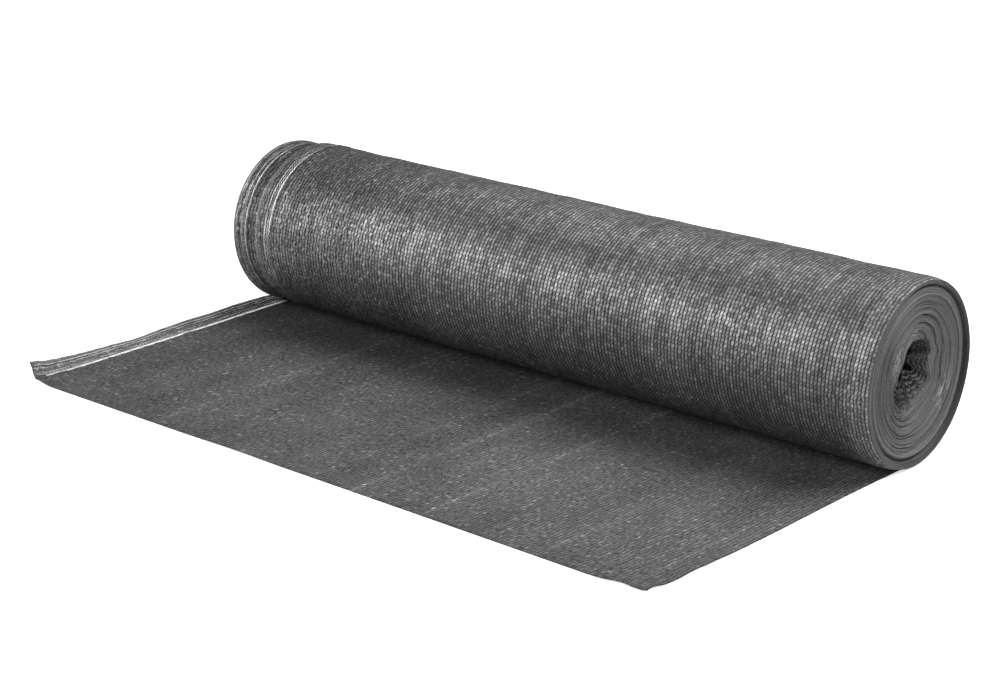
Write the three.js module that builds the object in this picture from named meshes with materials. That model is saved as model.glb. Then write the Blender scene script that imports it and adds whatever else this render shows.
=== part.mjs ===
// Roll of knitted shade netting, wound on itself with no tube, lying on its side with its loose end spread flat.
// Millimetres, +Z up. The origin is on the surface the roll lies on, under the middle of its length.
// +X runs along the roll from its far end to its near end, and the loose end lies towards -Y.
import * as THREE from "three";

// Driving dimensions.
const CLOTH_WIDTH = 1000; // from selvedge to plain edge, which is also the roll's length
const ROLL_DIAMETER = 216;
const FLAT_SPOT = 28; // width of the strip pressed flat under the roll
const LOOSE_LENGTH = 449; // from below the roll's axis to the front edge
const SHEET_THICKNESS = 2;
const SEAT_GAP = 0.3; // between the loose end and the turn above it
const PLAIN_EDGE_INSET = 10; // of the loose end's plain edge from the roll's near end
const NEAR_SKEW = 5.3; // the near end leans: the front of its rim stands this much further out, the back this much less
const NEAR_TILT = 1.5; // and its top stands this much further out, its bottom this much less
const SKEW_REACH = 120; // length of roll over which the lean fades

// Fineness of the faces.
const SPOKES = 72;
const BODY_STEPS = 9;
const CURL_STEPS = 4;
const SHEET_COLUMNS = 20;

// The wound surface, from the far end: distance along the roll, and how far it lies below the full radius.
// The inner turns end at the far rim, and the outer turn ends short of it, which leaves a valley between two selvedges.
const SURFACE = [
  { name: "far rim", along: 0, drop: 2.4 },
  { name: "far lip", along: 2.5, drop: 0.9 },
  { name: "far bulge", along: 6.5, drop: 0.4 },
  { name: "inner turns' selvedge", along: 12, drop: 1.3 },
  { name: "inner turns' strands", along: 22, drop: 3 },
  { name: "valley", along: 31, drop: 5.3 },
  { name: "valley foot", along: 40, drop: 5 },
  { name: "outer turn's edge", along: 42, drop: 2.2 },
  { name: "outer turn's selvedge", along: 50, drop: 0.6 },
  { name: "outer turn's strands", along: 62, drop: 0 },
  { name: "body start", along: 82, drop: 0.2 },
  { name: "body end", along: 970, drop: 0.5 },
  { name: "near shoulder", along: 988, drop: 0.8 },
  { name: "near round", along: 996, drop: 1.5 },
  { name: "near rim", along: 1000, drop: 2.8 },
];

// Soft dents in the wound surface: centre along the roll and round it, half widths both ways, and depth.
const DENTS = [
  { name: "top sag", along: 610, angle: 95, reach: 120, spread: 38, depth: 1.7 },
  { name: "front hollow", along: 330, angle: 160, reach: 150, spread: 30, depth: 0.7 },
  { name: "back hollow", along: 380, angle: 20, reach: 160, spread: 34, depth: 1.5 },
  { name: "back press", along: 790, angle: -15, reach: 130, spread: 26, depth: 1.2 },
];

// The end faces, from the hole's edge (out 0) to the wound surface (out 1): how deep each ring lies behind the rim,
// and how much deeper it lies on the side of the crumpled lobes.
const NEAR_FACE = [
  { name: "rim crest", out: 0.975, deep: 0.2, lobe: 0 },
  { name: "rim inside", out: 0.915, deep: 0.6, lobe: 0 },
  { name: "groove outside", out: 0.9, deep: 3, lobe: 0 },
  { name: "groove foot", out: 0.885, deep: 8, lobe: 0 },
  { name: "groove inside", out: 0.868, deep: 2.4, lobe: 0 },
  { name: "bright ring", out: 0.82, deep: 2, lobe: 0 },
  { name: "ring foot", out: 0.7, deep: 3.4, lobe: 0 },
  { name: "middle ring", out: 0.55, deep: 2.8, lobe: 0.6 },
  { name: "inner step", out: 0.4, deep: 3.4, lobe: 1.6 },
  { name: "lobe foot", out: 0.28, deep: 3, lobe: 3.2 },
  { name: "lobe turns", out: 0.14, deep: 3.2, lobe: 7 },
  { name: "hole edge", out: 0, deep: 4.5, lobe: 11 },
];
const FAR_FACE = [
  { name: "rim crest", out: 0.97, deep: 0.3, lobe: 0 },
  { name: "rim inside", out: 0.9, deep: 1, lobe: 0 },
  { name: "groove foot", out: 0.87, deep: 5, lobe: 0 },
  { name: "groove inside", out: 0.84, deep: 2.2, lobe: 0 },
  { name: "middle ring", out: 0.6, deep: 3, lobe: 0 },
  { name: "inner step", out: 0.35, deep: 3.6, lobe: 1 },
  { name: "lobe turns", out: 0.15, deep: 4, lobe: 4 },
  { name: "hole edge", out: 0, deep: 5.5, lobe: 6 },
];
const LOBE_DIRECTION = -45; // the side of the hole where the innermost turns have slumped in

// The hole's outline at each end, about its own centre: angles from +Y towards +Z, and radii.
const NEAR_HOLE = {
  centre: { y: -20.5, z: 17 },
  outline: [
    { name: "upper lobe", angle: 0, radius: 12 },
    { name: "upper notch", angle: 15, radius: 25 },
    { name: "upper right", angle: 40, radius: 23 },
    { name: "top", angle: 60, radius: 22 },
    { name: "top left", angle: 90, radius: 17 },
    { name: "left", angle: 135, radius: 14.5 },
    { name: "left wall", angle: 175, radius: 15.5 },
    { name: "lower left", angle: 205, radius: 21 },
    { name: "tongue side", angle: 225, radius: 27 },
    { name: "tongue", angle: 247, radius: 35 },
    { name: "tongue foot", angle: 262, radius: 20 },
    { name: "lower lobe", angle: 277, radius: 10.5 },
    { name: "lower lobe top", angle: 300, radius: 11.5 },
    { name: "slit side", angle: 318, radius: 16 },
    { name: "slit", angle: 331, radius: 33 },
    { name: "slit end", angle: 345, radius: 14 },
  ],
};
const FAR_HOLE = {
  centre: { y: -17, z: 14 },
  outline: [
    { name: "back", angle: 10, radius: 23 },
    { name: "top", angle: 85, radius: 20 },
    { name: "front", angle: 160, radius: 25 },
    { name: "lower front", angle: 215, radius: 20 },
    { name: "bottom", angle: 270, radius: 23 },
    { name: "fold", angle: 320, radius: 18 },
  ],
};

// The hole between the two ends: distance along the roll, and its share of the near outline.
const HOLE_RUN = [
  { name: "near mouth", along: 955, near: 0.95 },
  { name: "near throat", along: 860, near: 0.6 },
  { name: "middle", along: 500, near: 0.4 },
  { name: "far throat", along: 120, near: 0.15 },
];

// The loose end, by distance from below the roll's axis: where its selvedge starts to curl (x), how far the curl runs
// out and rises, how high the cloth lies there, and how far the plain edge stands out (+) or in (-).
const SECTIONS = [
  { name: "toe", from: 17.5, fold: -488, run: 14, rise: 0, lift: 0, plain: 0 },
  { name: "under the roll", from: 22, fold: -488, run: 14, rise: 0, lift: 0, plain: 0 },
  { name: "seat", from: 27, fold: -488, run: 15, rise: 0.6, lift: 0, plain: 0 },
  { name: "out of the roll", from: 42, fold: -488, run: 17, rise: 5.5, lift: 0, plain: 0 },
  { name: "first curl", from: 57, fold: -488.5, run: 18.5, rise: 9, lift: 0, plain: -0.5 },
  { name: "even curl", from: 105, fold: -487.5, run: 19, rise: 10, lift: 0, plain: -0.5 },
  { name: "slack curl", from: 150, fold: -487, run: 19, rise: 9, lift: 0, plain: 0.2 },
  { name: "full curl", from: 190, fold: -486.5, run: 19.5, rise: 9.6, lift: 0, plain: 1 },
  { name: "easing curl", from: 235, fold: -486, run: 19, rise: 8.6, lift: 0, plain: 2 },
  { name: "low curl", from: 277, fold: -486, run: 19, rise: 6.4, lift: 0, plain: 2.3 },
  { name: "plain bulge", from: 318, fold: -486.5, run: 18.5, rise: 8.4, lift: 0, plain: 2.7 },
  { name: "rising curl", from: 354, fold: -486, run: 17, rise: 10.4, lift: 0.2, plain: 2 },
  { name: "plain nick", from: 376, fold: -486, run: 15.5, rise: 12, lift: 0.4, plain: 0.3 },
  { name: "before the corner", from: 398, fold: -486, run: 13.8, rise: 14, lift: 0.8, plain: 0.8 },
  { name: "corner rises", from: 420, fold: -485.5, run: 13, rise: 15.5, lift: 1.8, plain: 0 },
  { name: "corner", from: 436, fold: -485, run: 13.5, rise: 17, lift: 2.9, plain: -4 },
  { name: "front edge", from: LOOSE_LENGTH, fold: -484, run: 14, rise: 17.2, lift: 3.6, plain: -4.6 },
];
const LIFT_REACH = 30; // how far inwards a lifted selvedge raises the cloth

// The cut front edge, from the selvedge to the plain edge: how far it falls back from its full length.
const FRONT_EDGE = [
  { name: "selvedge tip", x: -498, back: 4.5 },
  { name: "selvedge", x: -492, back: 2 },
  { name: "strands", x: -485, back: 0 },
  { name: "even cut", x: 60, back: 0.6 },
  { name: "long cut", x: 431, back: -0.6 },
  { name: "nick", x: 459, back: 4.2 },
  { name: "short cut", x: 480, back: 3.8 },
  { name: "corner", x: 486, back: 6.5 },
];
const FRONT_REACH = 12; // length of cloth that follows the front edge's unevenness

// Low rises in the cloth, off the floor: centre, half widths and height.
const RIPPLES = [
  { name: "front wave", x: 446, from: 449, reach: 20, spread: 16, rise: 1.5 },
  { name: "plain corner", x: 488, from: 434, reach: 14, spread: 14, rise: 1.8 },
  { name: "plain edge wave", x: 492, from: 350, reach: 12, spread: 40, rise: 1.4 },
  { name: "front ripple", x: -120, from: 449, reach: 60, spread: 18, rise: 1.2 },
];
const RIPPLE_FLOOR = 0.1; // rises below this lie flat

const ROLL_RADIUS = ROLL_DIAMETER / 2;
const AXIS_HEIGHT = Math.sqrt(ROLL_RADIUS ** 2 - (FLAT_SPOT / 2) ** 2);
const FAR_END = -CLOTH_WIDTH / 2;
const SAME_PLACE = 1e-9;
const CRUMPLE_FADE = 3; // power with which the hole's crumples die out over the turns
const CENTRE_FADE = 2; // power with which the turns become centred on the roll's axis

const { degToRad, smoothstep, lerp } = THREE.MathUtils;

// The value of a column at a place in a table whose rows are in order of the key, eased between rows.
function eased(rows, key, column, place) {
  const next = rows.findIndex((row) => row[key] >= place - SAME_PLACE);
  if (next <= 0) return rows[next === 0 ? 0 : rows.length - 1][column];
  const [low, high] = [rows[next - 1], rows[next]];
  return lerp(low[column], high[column], smoothstep(place, low[key], high[key]));
}

// The radius of a hole's outline at an angle in degrees, eased between its rows right round the circle.
function holeRadius(outline, angle) {
  const turn = ((angle % 360) + 360) % 360;
  const last = outline[outline.length - 1];
  const first = outline[0];
  const round = [{ ...last, angle: last.angle - 360 }, ...outline, { ...first, angle: first.angle + 360 }];
  return eased(round, "angle", "radius", turn);
}

function meanRadius(outline) {
  return outline.reduce((sum, row) => sum + row.radius, 0) / outline.length;
}

// A soft bump of height 1 at its middle, at a distance given in half widths.
const bump = (a, b) => Math.exp(-(a * a + b * b));

// How far the wound surface lies in from the full radius.
function surfaceDrop(along, angle) {
  const dents = DENTS.map((dent) => {
    const round = ((angle - dent.angle + 540) % 360) - 180;
    return dent.depth * bump((along - dent.along) / dent.reach, round / dent.spread);
  });
  return eased(SURFACE, "along", "drop", along) + dents.reduce((sum, depth) => sum + depth, 0);
}

// How far the roll's cross section is pushed along the axis by the lean of its near end.
function lean(along, angle) {
  const share = smoothstep(along, CLOTH_WIDTH - SKEW_REACH, CLOTH_WIDTH);
  const direction = degToRad(angle);
  return (NEAR_TILT * Math.sin(direction) - NEAR_SKEW * Math.cos(direction)) * share;
}

// A point of the wound roll: the shape between the hole's outline (out 0) and the wound surface (out 1).
function rollPoint(along, angle, out, hole) {
  const direction = degToRad(angle);
  const outer = ROLL_RADIUS - surfaceDrop(along, angle);
  const middle = meanRadius(hole.outline);
  const crumple = holeRadius(hole.outline, angle) - middle;
  const radius = lerp(middle, outer, out) + crumple * (1 - out) ** CRUMPLE_FADE;
  const offset = (1 - out) ** CENTRE_FADE;
  return new THREE.Vector3(
    FAR_END + along + lean(along, angle),
    hole.centre.y * offset + radius * Math.cos(direction),
    Math.max(0, AXIS_HEIGHT + hole.centre.z * offset + radius * Math.sin(direction)),
  );
}

// The hole part of the way between the two ends.
function holeAt(near) {
  const outline = [];
  for (let angle = 0; angle < 360; angle += 360 / SPOKES)
    outline.push({
      angle,
      radius: lerp(holeRadius(FAR_HOLE.outline, angle), holeRadius(NEAR_HOLE.outline, angle), near),
    });
  const centre = {
    y: lerp(FAR_HOLE.centre.y, NEAR_HOLE.centre.y, near),
    z: lerp(FAR_HOLE.centre.z, NEAR_HOLE.centre.z, near),
  };
  return { centre, outline };
}

// One spoke's closed profile: along the surface, in over the near face, back through the hole, out over the far face.
function spokeProfile(angle) {
  const towardLobes = 0.5 + 0.5 * Math.cos(degToRad(angle - LOBE_DIRECTION));
  const bodyStart = SURFACE.findIndex((row) => row.name === "body start");
  const places = SURFACE.map((row) => row.along);
  const [from, to] = places.slice(bodyStart, bodyStart + 2);
  const between = Array.from({ length: BODY_STEPS - 1 }, (_, i) => lerp(from, to, (i + 1) / BODY_STEPS));
  places.splice(bodyStart + 1, 0, ...between);
  const depth = (row) => row.deep + row.lobe * towardLobes;
  return [
    ...places.map((along) => rollPoint(along, angle, 1, NEAR_HOLE)),
    ...NEAR_FACE.map((row) => {
      const point = rollPoint(CLOTH_WIDTH, angle, row.out, NEAR_HOLE);
      point.x -= depth(row);
      return point;
    }),
    ...HOLE_RUN.map((row) => rollPoint(row.along, angle, 0, holeAt(row.near))),
    ...[...FAR_FACE].reverse().map((row) => {
      const point = rollPoint(0, angle, row.out, FAR_HOLE);
      point.x += depth(row);
      return point;
    }),
  ];
}

// A closed ring of equal profiles, each of them closed too, as one surface.
function ringOfProfiles(profiles) {
  const count = profiles[0].length;
  const index = [];
  profiles.forEach((_, i) => {
    const [here, there] = [i * count, ((i + 1) % profiles.length) * count];
    for (let j = 0; j < count; j++) {
      const k = (j + 1) % count;
      index.push(here + j, there + k, here + k, here + j, there + j, there + k);
    }
  });
  return solid(profiles.flat(), index);
}

// A slab between two grids of the same size, closed round its four sides.
function slab(upper, lower) {
  const [rows, columns] = [upper.length, upper[0].length];
  const below = rows * columns;
  const at = (i, j) => i * columns + j;
  const index = [];
  const quad = (a, b, c, d) => index.push(a, b, c, a, c, d);
  for (let i = 0; i < rows - 1; i++)
    for (let j = 0; j < columns - 1; j++) {
      quad(at(i, j), at(i + 1, j), at(i + 1, j + 1), at(i, j + 1));
      quad(below + at(i, j), below + at(i, j + 1), below + at(i + 1, j + 1), below + at(i + 1, j));
    }
  const wall = (a, b) => quad(a, b, below + b, below + a);
  for (let j = 0; j < columns - 1; j++) {
    wall(at(0, j), at(0, j + 1));
    wall(at(rows - 1, j + 1), at(rows - 1, j));
  }
  for (let i = 0; i < rows - 1; i++) {
    wall(at(i + 1, 0), at(i, 0));
    wall(at(i, columns - 1), at(i + 1, columns - 1));
  }
  return solid([...upper.flat(), ...lower.flat()], index);
}

// A geometry from its points and the triangles between them.
function solid(points, index) {
  const geometry = new THREE.BufferGeometry().setFromPoints(points);
  geometry.setIndex(index);
  geometry.computeVertexNormals();
  return geometry;
}

// The height of the underside of the outer turn, above the floor, at a distance from below the axis.
const turnHeight = (from) => AXIS_HEIGHT - Math.sqrt(ROLL_RADIUS ** 2 - Math.min(from, ROLL_RADIUS) ** 2);

// How high the cloth's body lies off the floor.
function ripple(x, from) {
  const rises = RIPPLES.map((row) => row.rise * bump((x - row.x) / row.reach, (from - row.from) / row.spread));
  const sum = rises.reduce((total, rise) => total + rise, 0);
  return Math.max(0, sum - RIPPLE_FLOOR);
}

// Columns of the cloth's body stand closer together towards its two edges.
const columnShare = (share) => lerp(share, smoothstep(share, 0, 1), 0.55);

// One cross section of the loose end, from the selvedge's edge to the plain edge: points of its underside, each with
// the direction in which the cloth's thickness lies.
function sheetSection(section) {
  const { from, fold, run, rise, lift } = section;
  const curl = new THREE.QuadraticBezierCurve(
    new THREE.Vector2(fold - run, lift + rise),
    new THREE.Vector2(fold - 0.45 * run, lift + 0.1 * rise),
    new THREE.Vector2(fold, lift),
  );
  const plainEdge = CLOTH_WIDTH / 2 - PLAIN_EDGE_INSET + section.plain;
  const points = [];
  for (let i = 0; i < CURL_STEPS; i++) {
    const place = curl.getPoint(i / CURL_STEPS);
    const tangent = curl.getTangent(i / CURL_STEPS);
    points.push({ x: place.x, z: place.y, up: new THREE.Vector2(-tangent.y, tangent.x) });
  }
  for (let i = 0; i <= SHEET_COLUMNS; i++) {
    const x = lerp(fold, plainEdge, columnShare(i / SHEET_COLUMNS));
    const lifted = lift * (1 - smoothstep(x - fold, 0, LIFT_REACH));
    points.push({ x, z: lifted + ripple(x, from), up: new THREE.Vector2(0, 1) });
  }
  return points.map((point) => {
    const cut = eased(FRONT_EDGE, "x", "back", point.x);
    const y = -(from - cut * smoothstep(from, LOOSE_LENGTH - FRONT_REACH, LOOSE_LENGTH));
    const room = Math.min(SHEET_THICKNESS, turnHeight(from) - SEAT_GAP);
    return {
      lower: new THREE.Vector3(point.x, y, point.z),
      upper: new THREE.Vector3(point.x + point.up.x * room, y, point.z + point.up.y * room),
    };
  });
}

function woundRoll() {
  const angles = Array.from({ length: SPOKES }, (_, i) => (i * 360) / SPOKES);
  return ringOfProfiles(angles.map(spokeProfile));
}

function looseEnd() {
  const sections = SECTIONS.map(sheetSection);
  return slab(
    sections.map((section) => section.map((point) => point.upper)),
    sections.map((section) => section.map((point) => point.lower)),
  );
}

function piece(name, geometry, material) {
  const mesh = new THREE.Mesh(geometry, material);
  mesh.name = name;
  return mesh;
}

const knit = new THREE.MeshStandardMaterial({ color: 0x3a3b3d, roughness: 0.62, metalness: 0 });
const looseKnit = new THREE.MeshStandardMaterial({ color: 0x3f4042, roughness: 0.66, metalness: 0 });

const rollOfNetting = new THREE.Group();
rollOfNetting.add(piece("wound_roll", woundRoll(), knit));
rollOfNetting.add(piece("loose_end", looseEnd(), looseKnit));

export default rollOfNetting;
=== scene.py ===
"""Roll of knitted shade netting, lying on its side with its loose end spread out in front of it.

Metres, +Z up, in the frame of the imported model: +X runs along the roll from its far end to its near end, and
the loose end lies towards -Y. The cloth has coordinates of its own: across, from its selvedge to its plain
edge, and along, the way it is wound. Angles round the roll are degrees from +Y towards +Z.
"""
import logging
import math
from dataclasses import dataclass, field
from enum import Enum
from typing import Callable, Sequence

import bpy
import numpy as np
from bpy.types import Material, Node, NodeSocket, NodeTree, Object
from mathutils import Matrix, Vector


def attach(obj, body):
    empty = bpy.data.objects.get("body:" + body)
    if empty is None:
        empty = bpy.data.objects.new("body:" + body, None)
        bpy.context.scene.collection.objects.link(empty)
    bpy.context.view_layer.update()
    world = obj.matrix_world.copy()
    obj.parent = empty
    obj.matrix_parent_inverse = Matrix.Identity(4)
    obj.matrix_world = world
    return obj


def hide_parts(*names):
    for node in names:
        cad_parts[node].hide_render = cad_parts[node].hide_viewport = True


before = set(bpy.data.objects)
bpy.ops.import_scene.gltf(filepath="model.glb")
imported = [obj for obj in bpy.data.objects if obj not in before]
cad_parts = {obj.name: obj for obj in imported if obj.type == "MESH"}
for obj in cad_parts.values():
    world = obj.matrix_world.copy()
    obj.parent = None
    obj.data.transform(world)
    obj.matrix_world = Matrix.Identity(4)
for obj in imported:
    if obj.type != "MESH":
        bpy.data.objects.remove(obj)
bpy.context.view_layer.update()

LOG = logging.getLogger("netting")
Array = np.ndarray
Source = NodeSocket | float | Sequence[float]
Painted = tuple[NodeSocket, NodeSocket]

KNIT_PITCH = 0.005  # between wales, and between courses
YARN_GIRTH = 0.004  # round a yarn, in the coordinates of its finish
NO_PLACE = (0.0, 0.0, 0.0)


# Numbers over arrays

def smooth(share: Array | float) -> Array:
    """Three t squared minus two t cubed, of a share held between 0 and 1."""
    t = np.clip(share, 0.0, 1.0)
    return t * t * (3.0 - 2.0 * t)


def bump(*distances: Array) -> Array:
    """A soft rise of height 1 at its middle: e to minus the sum of the squared distances."""
    return np.exp(-sum(distance * distance for distance in distances))


def ripple(turns: Array) -> Array:
    """Half of one minus the cosine: 0 at every whole turn and 1 half way between."""
    return 0.5 - 0.5 * np.cos(2.0 * math.pi * turns)


def around(angle: Array, middle: float) -> Array:
    """The signed turn in degrees from a middle angle, from -180 to 180."""
    return np.mod(angle - middle + 180.0, 360.0) - 180.0


def spokes(count: int) -> Array:
    """Evenly spread angles round a ring, in degrees."""
    return np.arange(count) * (360.0 / count)


def unit(vectors: Array) -> Array:
    """The vectors at length 1."""
    return vectors / np.linalg.norm(vectors, axis=-1, keepdims=True)


@dataclass(frozen=True)
class Profile:
    """A short table whose columns are eased between named rows.

    Each row is its name, its place and then its values. With a period the table runs round and round.
    """

    rows: tuple[tuple, ...]
    period: float = 0.0

    def at(self, place: Array | float, column: int = 0) -> Array:
        """The value at a place: the smooth step between the rows on its two sides.

        Args:
            place: where to read the table.
            column: which of the row's values.

        Returns:
            The values, in the shape of place.
        """
        places = np.array([row[1] for row in self.rows], float)
        values = np.array([row[2 + column] for row in self.rows], float)
        if self.period:
            places = np.concatenate([[places[-1] - self.period], places, [places[0] + self.period]])
            values = np.concatenate([[values[-1]], values, [values[0]]])
            place = np.mod(place, self.period)
        place = np.asarray(place, float)
        high = np.clip(np.searchsorted(places, place), 1, len(places) - 1)
        share = smooth((place - places[high - 1]) / (places[high] - places[high - 1]))
        return values[high - 1] + (values[high] - values[high - 1]) * share


@dataclass(frozen=True)
class Wander:
    """A smooth random surface from -1 to 1 over two coordinates that each repeat from 0 to 1."""

    seed: int
    cells: tuple[int, int]

    def at(self, first: Array, second: Array | float = 0.0) -> Array:
        """Random values at the corners of a lattice, eased between its four nearest corners.

        Args:
            first: the first coordinate, in periods.
            second: the second coordinate, in periods.

        Returns:
            The values, in the shape that the two coordinates broadcast to.
        """
        lattice = np.random.default_rng(self.seed).uniform(-1.0, 1.0, self.cells)
        x, y = np.mod(first, 1.0) * self.cells[0], np.mod(second, 1.0) * self.cells[1]
        i, j = np.floor(x).astype(int), np.floor(y).astype(int)
        s, t = smooth(x - i), smooth(y - j)
        i, j = i % self.cells[0], j % self.cells[1]
        k, m = (i + 1) % self.cells[0], (j + 1) % self.cells[1]
        near = lattice[i, j] * (1 - s) + lattice[k, j] * s
        far = lattice[i, m] * (1 - s) + lattice[k, m] * s
        return near * (1 - t) + far * t


# Meshes

@dataclass
class Patch:
    """Points and four-sided faces of a surface, each corner's cloth coordinates and each point's tone."""

    points: Array
    faces: Array
    cloth: Array
    tone: Array

    @staticmethod
    def grid(points: Array, cloth: Array, closed: tuple[bool, bool] = (False, False), flip: bool = False,
             tone: Array | float = 1.0) -> "Patch":
        """A surface from a grid of points, its rows and columns joined up where they are closed.

        Args:
            points: rows by columns by 3.
            cloth: the corners' cloth coordinates, with one more row or column where the grid is closed.
            closed: whether the last row joins the first, and the last column the first.
            flip: turns the faces over.
            tone: how light each point is, 1 for as it comes.

        Returns:
            The patch.
        """
        rows, columns = points.shape[:2]
        spans = np.arange(rows - (not closed[0])), np.arange(columns - (not closed[1]))
        i, j = np.meshgrid(*spans, indexing="ij")
        corners = [(i, j), (i + 1, j), (i + 1, j + 1), (i, j + 1)]
        faces = np.stack([(a % rows) * columns + b % columns for a, b in corners], -1).reshape(-1, 4)
        spots = np.stack([cloth[a, b] for a, b in corners], -2).reshape(-1, 4, 2)
        if flip:
            faces, spots = faces[:, ::-1], spots[:, ::-1]
        return Patch(points.reshape(-1, 3), faces, spots, np.broadcast_to(tone, (rows, columns)).reshape(-1))

    @staticmethod
    def join(patches: Sequence["Patch"]) -> "Patch":
        """All the patches as one, with each one's faces counted on from the points before it."""
        starts = np.cumsum([0] + [len(patch.points) for patch in patches[:-1]])
        return Patch(
            np.concatenate([patch.points for patch in patches]),
            np.concatenate([patch.faces + start for patch, start in zip(patches, starts)]),
            np.concatenate([patch.cloth for patch in patches]),
            np.concatenate([patch.tone for patch in patches]),
        )

    def more(self, faces: Array, cloth: Array) -> "Patch":
        """This patch with more faces on its points, and their corners' cloth coordinates."""
        faces, cloth = np.concatenate([self.faces, faces]), np.concatenate([self.cloth, cloth])
        return Patch(self.points, faces, cloth, self.tone)

    def make(self, name: str, material: Material) -> Object:
        """A smoothly shaded object of this patch.

        Args:
            name: the piece's name.
            material: its finish.

        Returns:
            The object, at the origin.
        """
        mesh = bpy.data.meshes.new(name)
        count = len(self.faces)
        mesh.vertices.add(len(self.points))
        mesh.vertices.foreach_set("co", self.points.astype(np.float32).ravel())
        mesh.loops.add(count * 4)
        mesh.loops.foreach_set("vertex_index", self.faces.astype(np.int32).ravel())
        mesh.polygons.add(count)
        mesh.polygons.foreach_set("loop_start", np.arange(0, count * 4, 4, dtype=np.int32))
        mesh.polygons.foreach_set("use_smooth", np.ones(count, bool))
        mesh.uv_layers.new(name="cloth").data.foreach_set("uv", self.cloth.astype(np.float32).ravel())
        shade = mesh.attributes.new("tone", "FLOAT", "POINT")
        shade.data.foreach_set("value", self.tone.astype(np.float32))
        mesh.update(calc_edges=True)
        mesh.validate()
        mesh.materials.append(material)
        piece = bpy.data.objects.new(name, mesh)
        bpy.context.scene.collection.objects.link(piece)
        return piece


def tube(path: Array, up: Array, radius: Array, sides: int, closed: bool = False) -> Patch:
    """A yarn: a ring of points about each point of its path, in the plane across the path there.

    Args:
        path: the centreline's points.
        up: a direction away from the cloth at each of them.
        radius: the yarn's radius at each of them.
        sides: an even number of sides.
        closed: joins the path's end to its start; otherwise both ends are closed with flat caps.

    Returns:
        The patch, with the girth across and the length along as its cloth coordinates.
    """
    count = len(path)
    ahead = unit(np.roll(path, -1, 0) - np.roll(path, 1, 0) if closed else np.gradient(path, axis=0))
    side = unit(np.cross(ahead, up))
    over = np.cross(side, ahead)
    turn = np.radians(spokes(sides))[None, :, None]
    ring = np.cos(turn) * side[:, None] + np.sin(turn) * over[:, None]
    points = path[:, None] + radius[:, None, None] * ring
    step = np.linalg.norm(np.diff(path, axis=0, append=path[:1]), axis=1)
    length = np.concatenate([[0.0], np.cumsum(step)])[:count + closed]
    girth = np.linspace(0.0, YARN_GIRTH, sides + 1)[None]
    patch = Patch.grid(points, np.stack(np.broadcast_arrays(girth, length[:, None]), -1), (closed, True))
    if closed:
        return patch
    fan = np.array([(0, k, k + 1, k + 2) for k in range(1, sides - 1, 2)])
    caps = np.concatenate([fan[:, ::-1], fan + (count - 1) * sides])
    return patch.more(caps, np.zeros((len(caps), 4, 2)))


# Node trees

class Tree:
    """Short calls for the nodes and links of one node tree."""

    def __init__(self, tree: NodeTree) -> None:
        """Keeps the tree's nodes and links."""
        self.nodes, self.links = tree.nodes, tree.links

    def node(self, kind: str, *values: Source, **settings: object) -> Node:
        """A new shader node.

        Args:
            kind: the node's type, without its first words.
            values: what its first inputs are fed with, in their order.
            settings: its own settings, by name.

        Returns:
            The node.
        """
        made = self.nodes.new("ShaderNode" + kind)
        for key, value in settings.items():
            setattr(made, key, value)
        for socket, value in zip(made.inputs, values):
            self.feed(socket, value)
        return made

    def feed(self, socket: NodeSocket, value: Source) -> None:
        """Links another node's output to a socket, or sets the socket's plain value."""
        if isinstance(value, NodeSocket):
            self.links.new(value, socket)
        else:
            socket.default_value = value

    def fill(self, node: Node, values: dict[str, Source]) -> Node:
        """A node with its inputs fed by name."""
        for name, value in values.items():
            self.feed(node.inputs[name], value)
        return node

    def math(self, operation: str, *values: Source) -> NodeSocket:
        """The result of a Math node on one to three values."""
        return self.node("Math", *values, operation=operation).outputs[0]

    def times(self, first: Source, *others: Source) -> NodeSocket:
        """The product of two or more values."""
        for value in others:
            first = self.math("MULTIPLY", first, value)
        return first

    def vector(self, operation: str, *values: Source) -> NodeSocket:
        """The vector result of a Vector Math node."""
        return self.node("VectorMath", *values, operation=operation).outputs[0]

    def scaled(self, vector: Source, scale: Source) -> NodeSocket:
        """A vector times a number."""
        made = self.node("VectorMath", operation="SCALE")
        return self.fill(made, {"Vector": vector, "Scale": scale}).outputs[0]

    def parts(self, vector: Source) -> Sequence[NodeSocket]:
        """The three numbers of a vector."""
        return self.node("SeparateXYZ", vector).outputs

    def ramp(self, value: Source, start: float, end: float, low: float, high: float) -> NodeSocket:
        """A value mapped from start..end to low..high along a smooth step."""
        made = self.node("MapRange", value, start, end, low, high, interpolation_type="SMOOTHSTEP")
        return made.outputs[0]

    def blend(self, share: Source, low: Source, high: Source) -> NodeSocket:
        """Two colours mixed by a share."""
        made = self.node("Mix", share, data_type="RGBA")
        self.feed(made.inputs[6], low)
        self.feed(made.inputs[7], high)
        return made.outputs[2]

    def grey(self, value: Source) -> NodeSocket:
        """A grey of a value."""
        return self.node("CombineColor", value, value, value).outputs[0]

    def noise(self, place: Source, scale: float, detail: float = 2.0, rough: float = 0.5,
              output: str = "Fac") -> NodeSocket:
        """A Noise Texture's value at a place, or its colour."""
        values = {"Vector": place, "Scale": scale, "Detail": detail, "Roughness": rough}
        return self.fill(self.node("TexNoise"), values).outputs[output]

    def group(self, group: NodeTree, **values: Source) -> Sequence[NodeSocket]:
        """The outputs of a node that holds a group, with its inputs fed by name."""
        return self.fill(self.node("Group", node_tree=group), values).outputs


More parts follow.
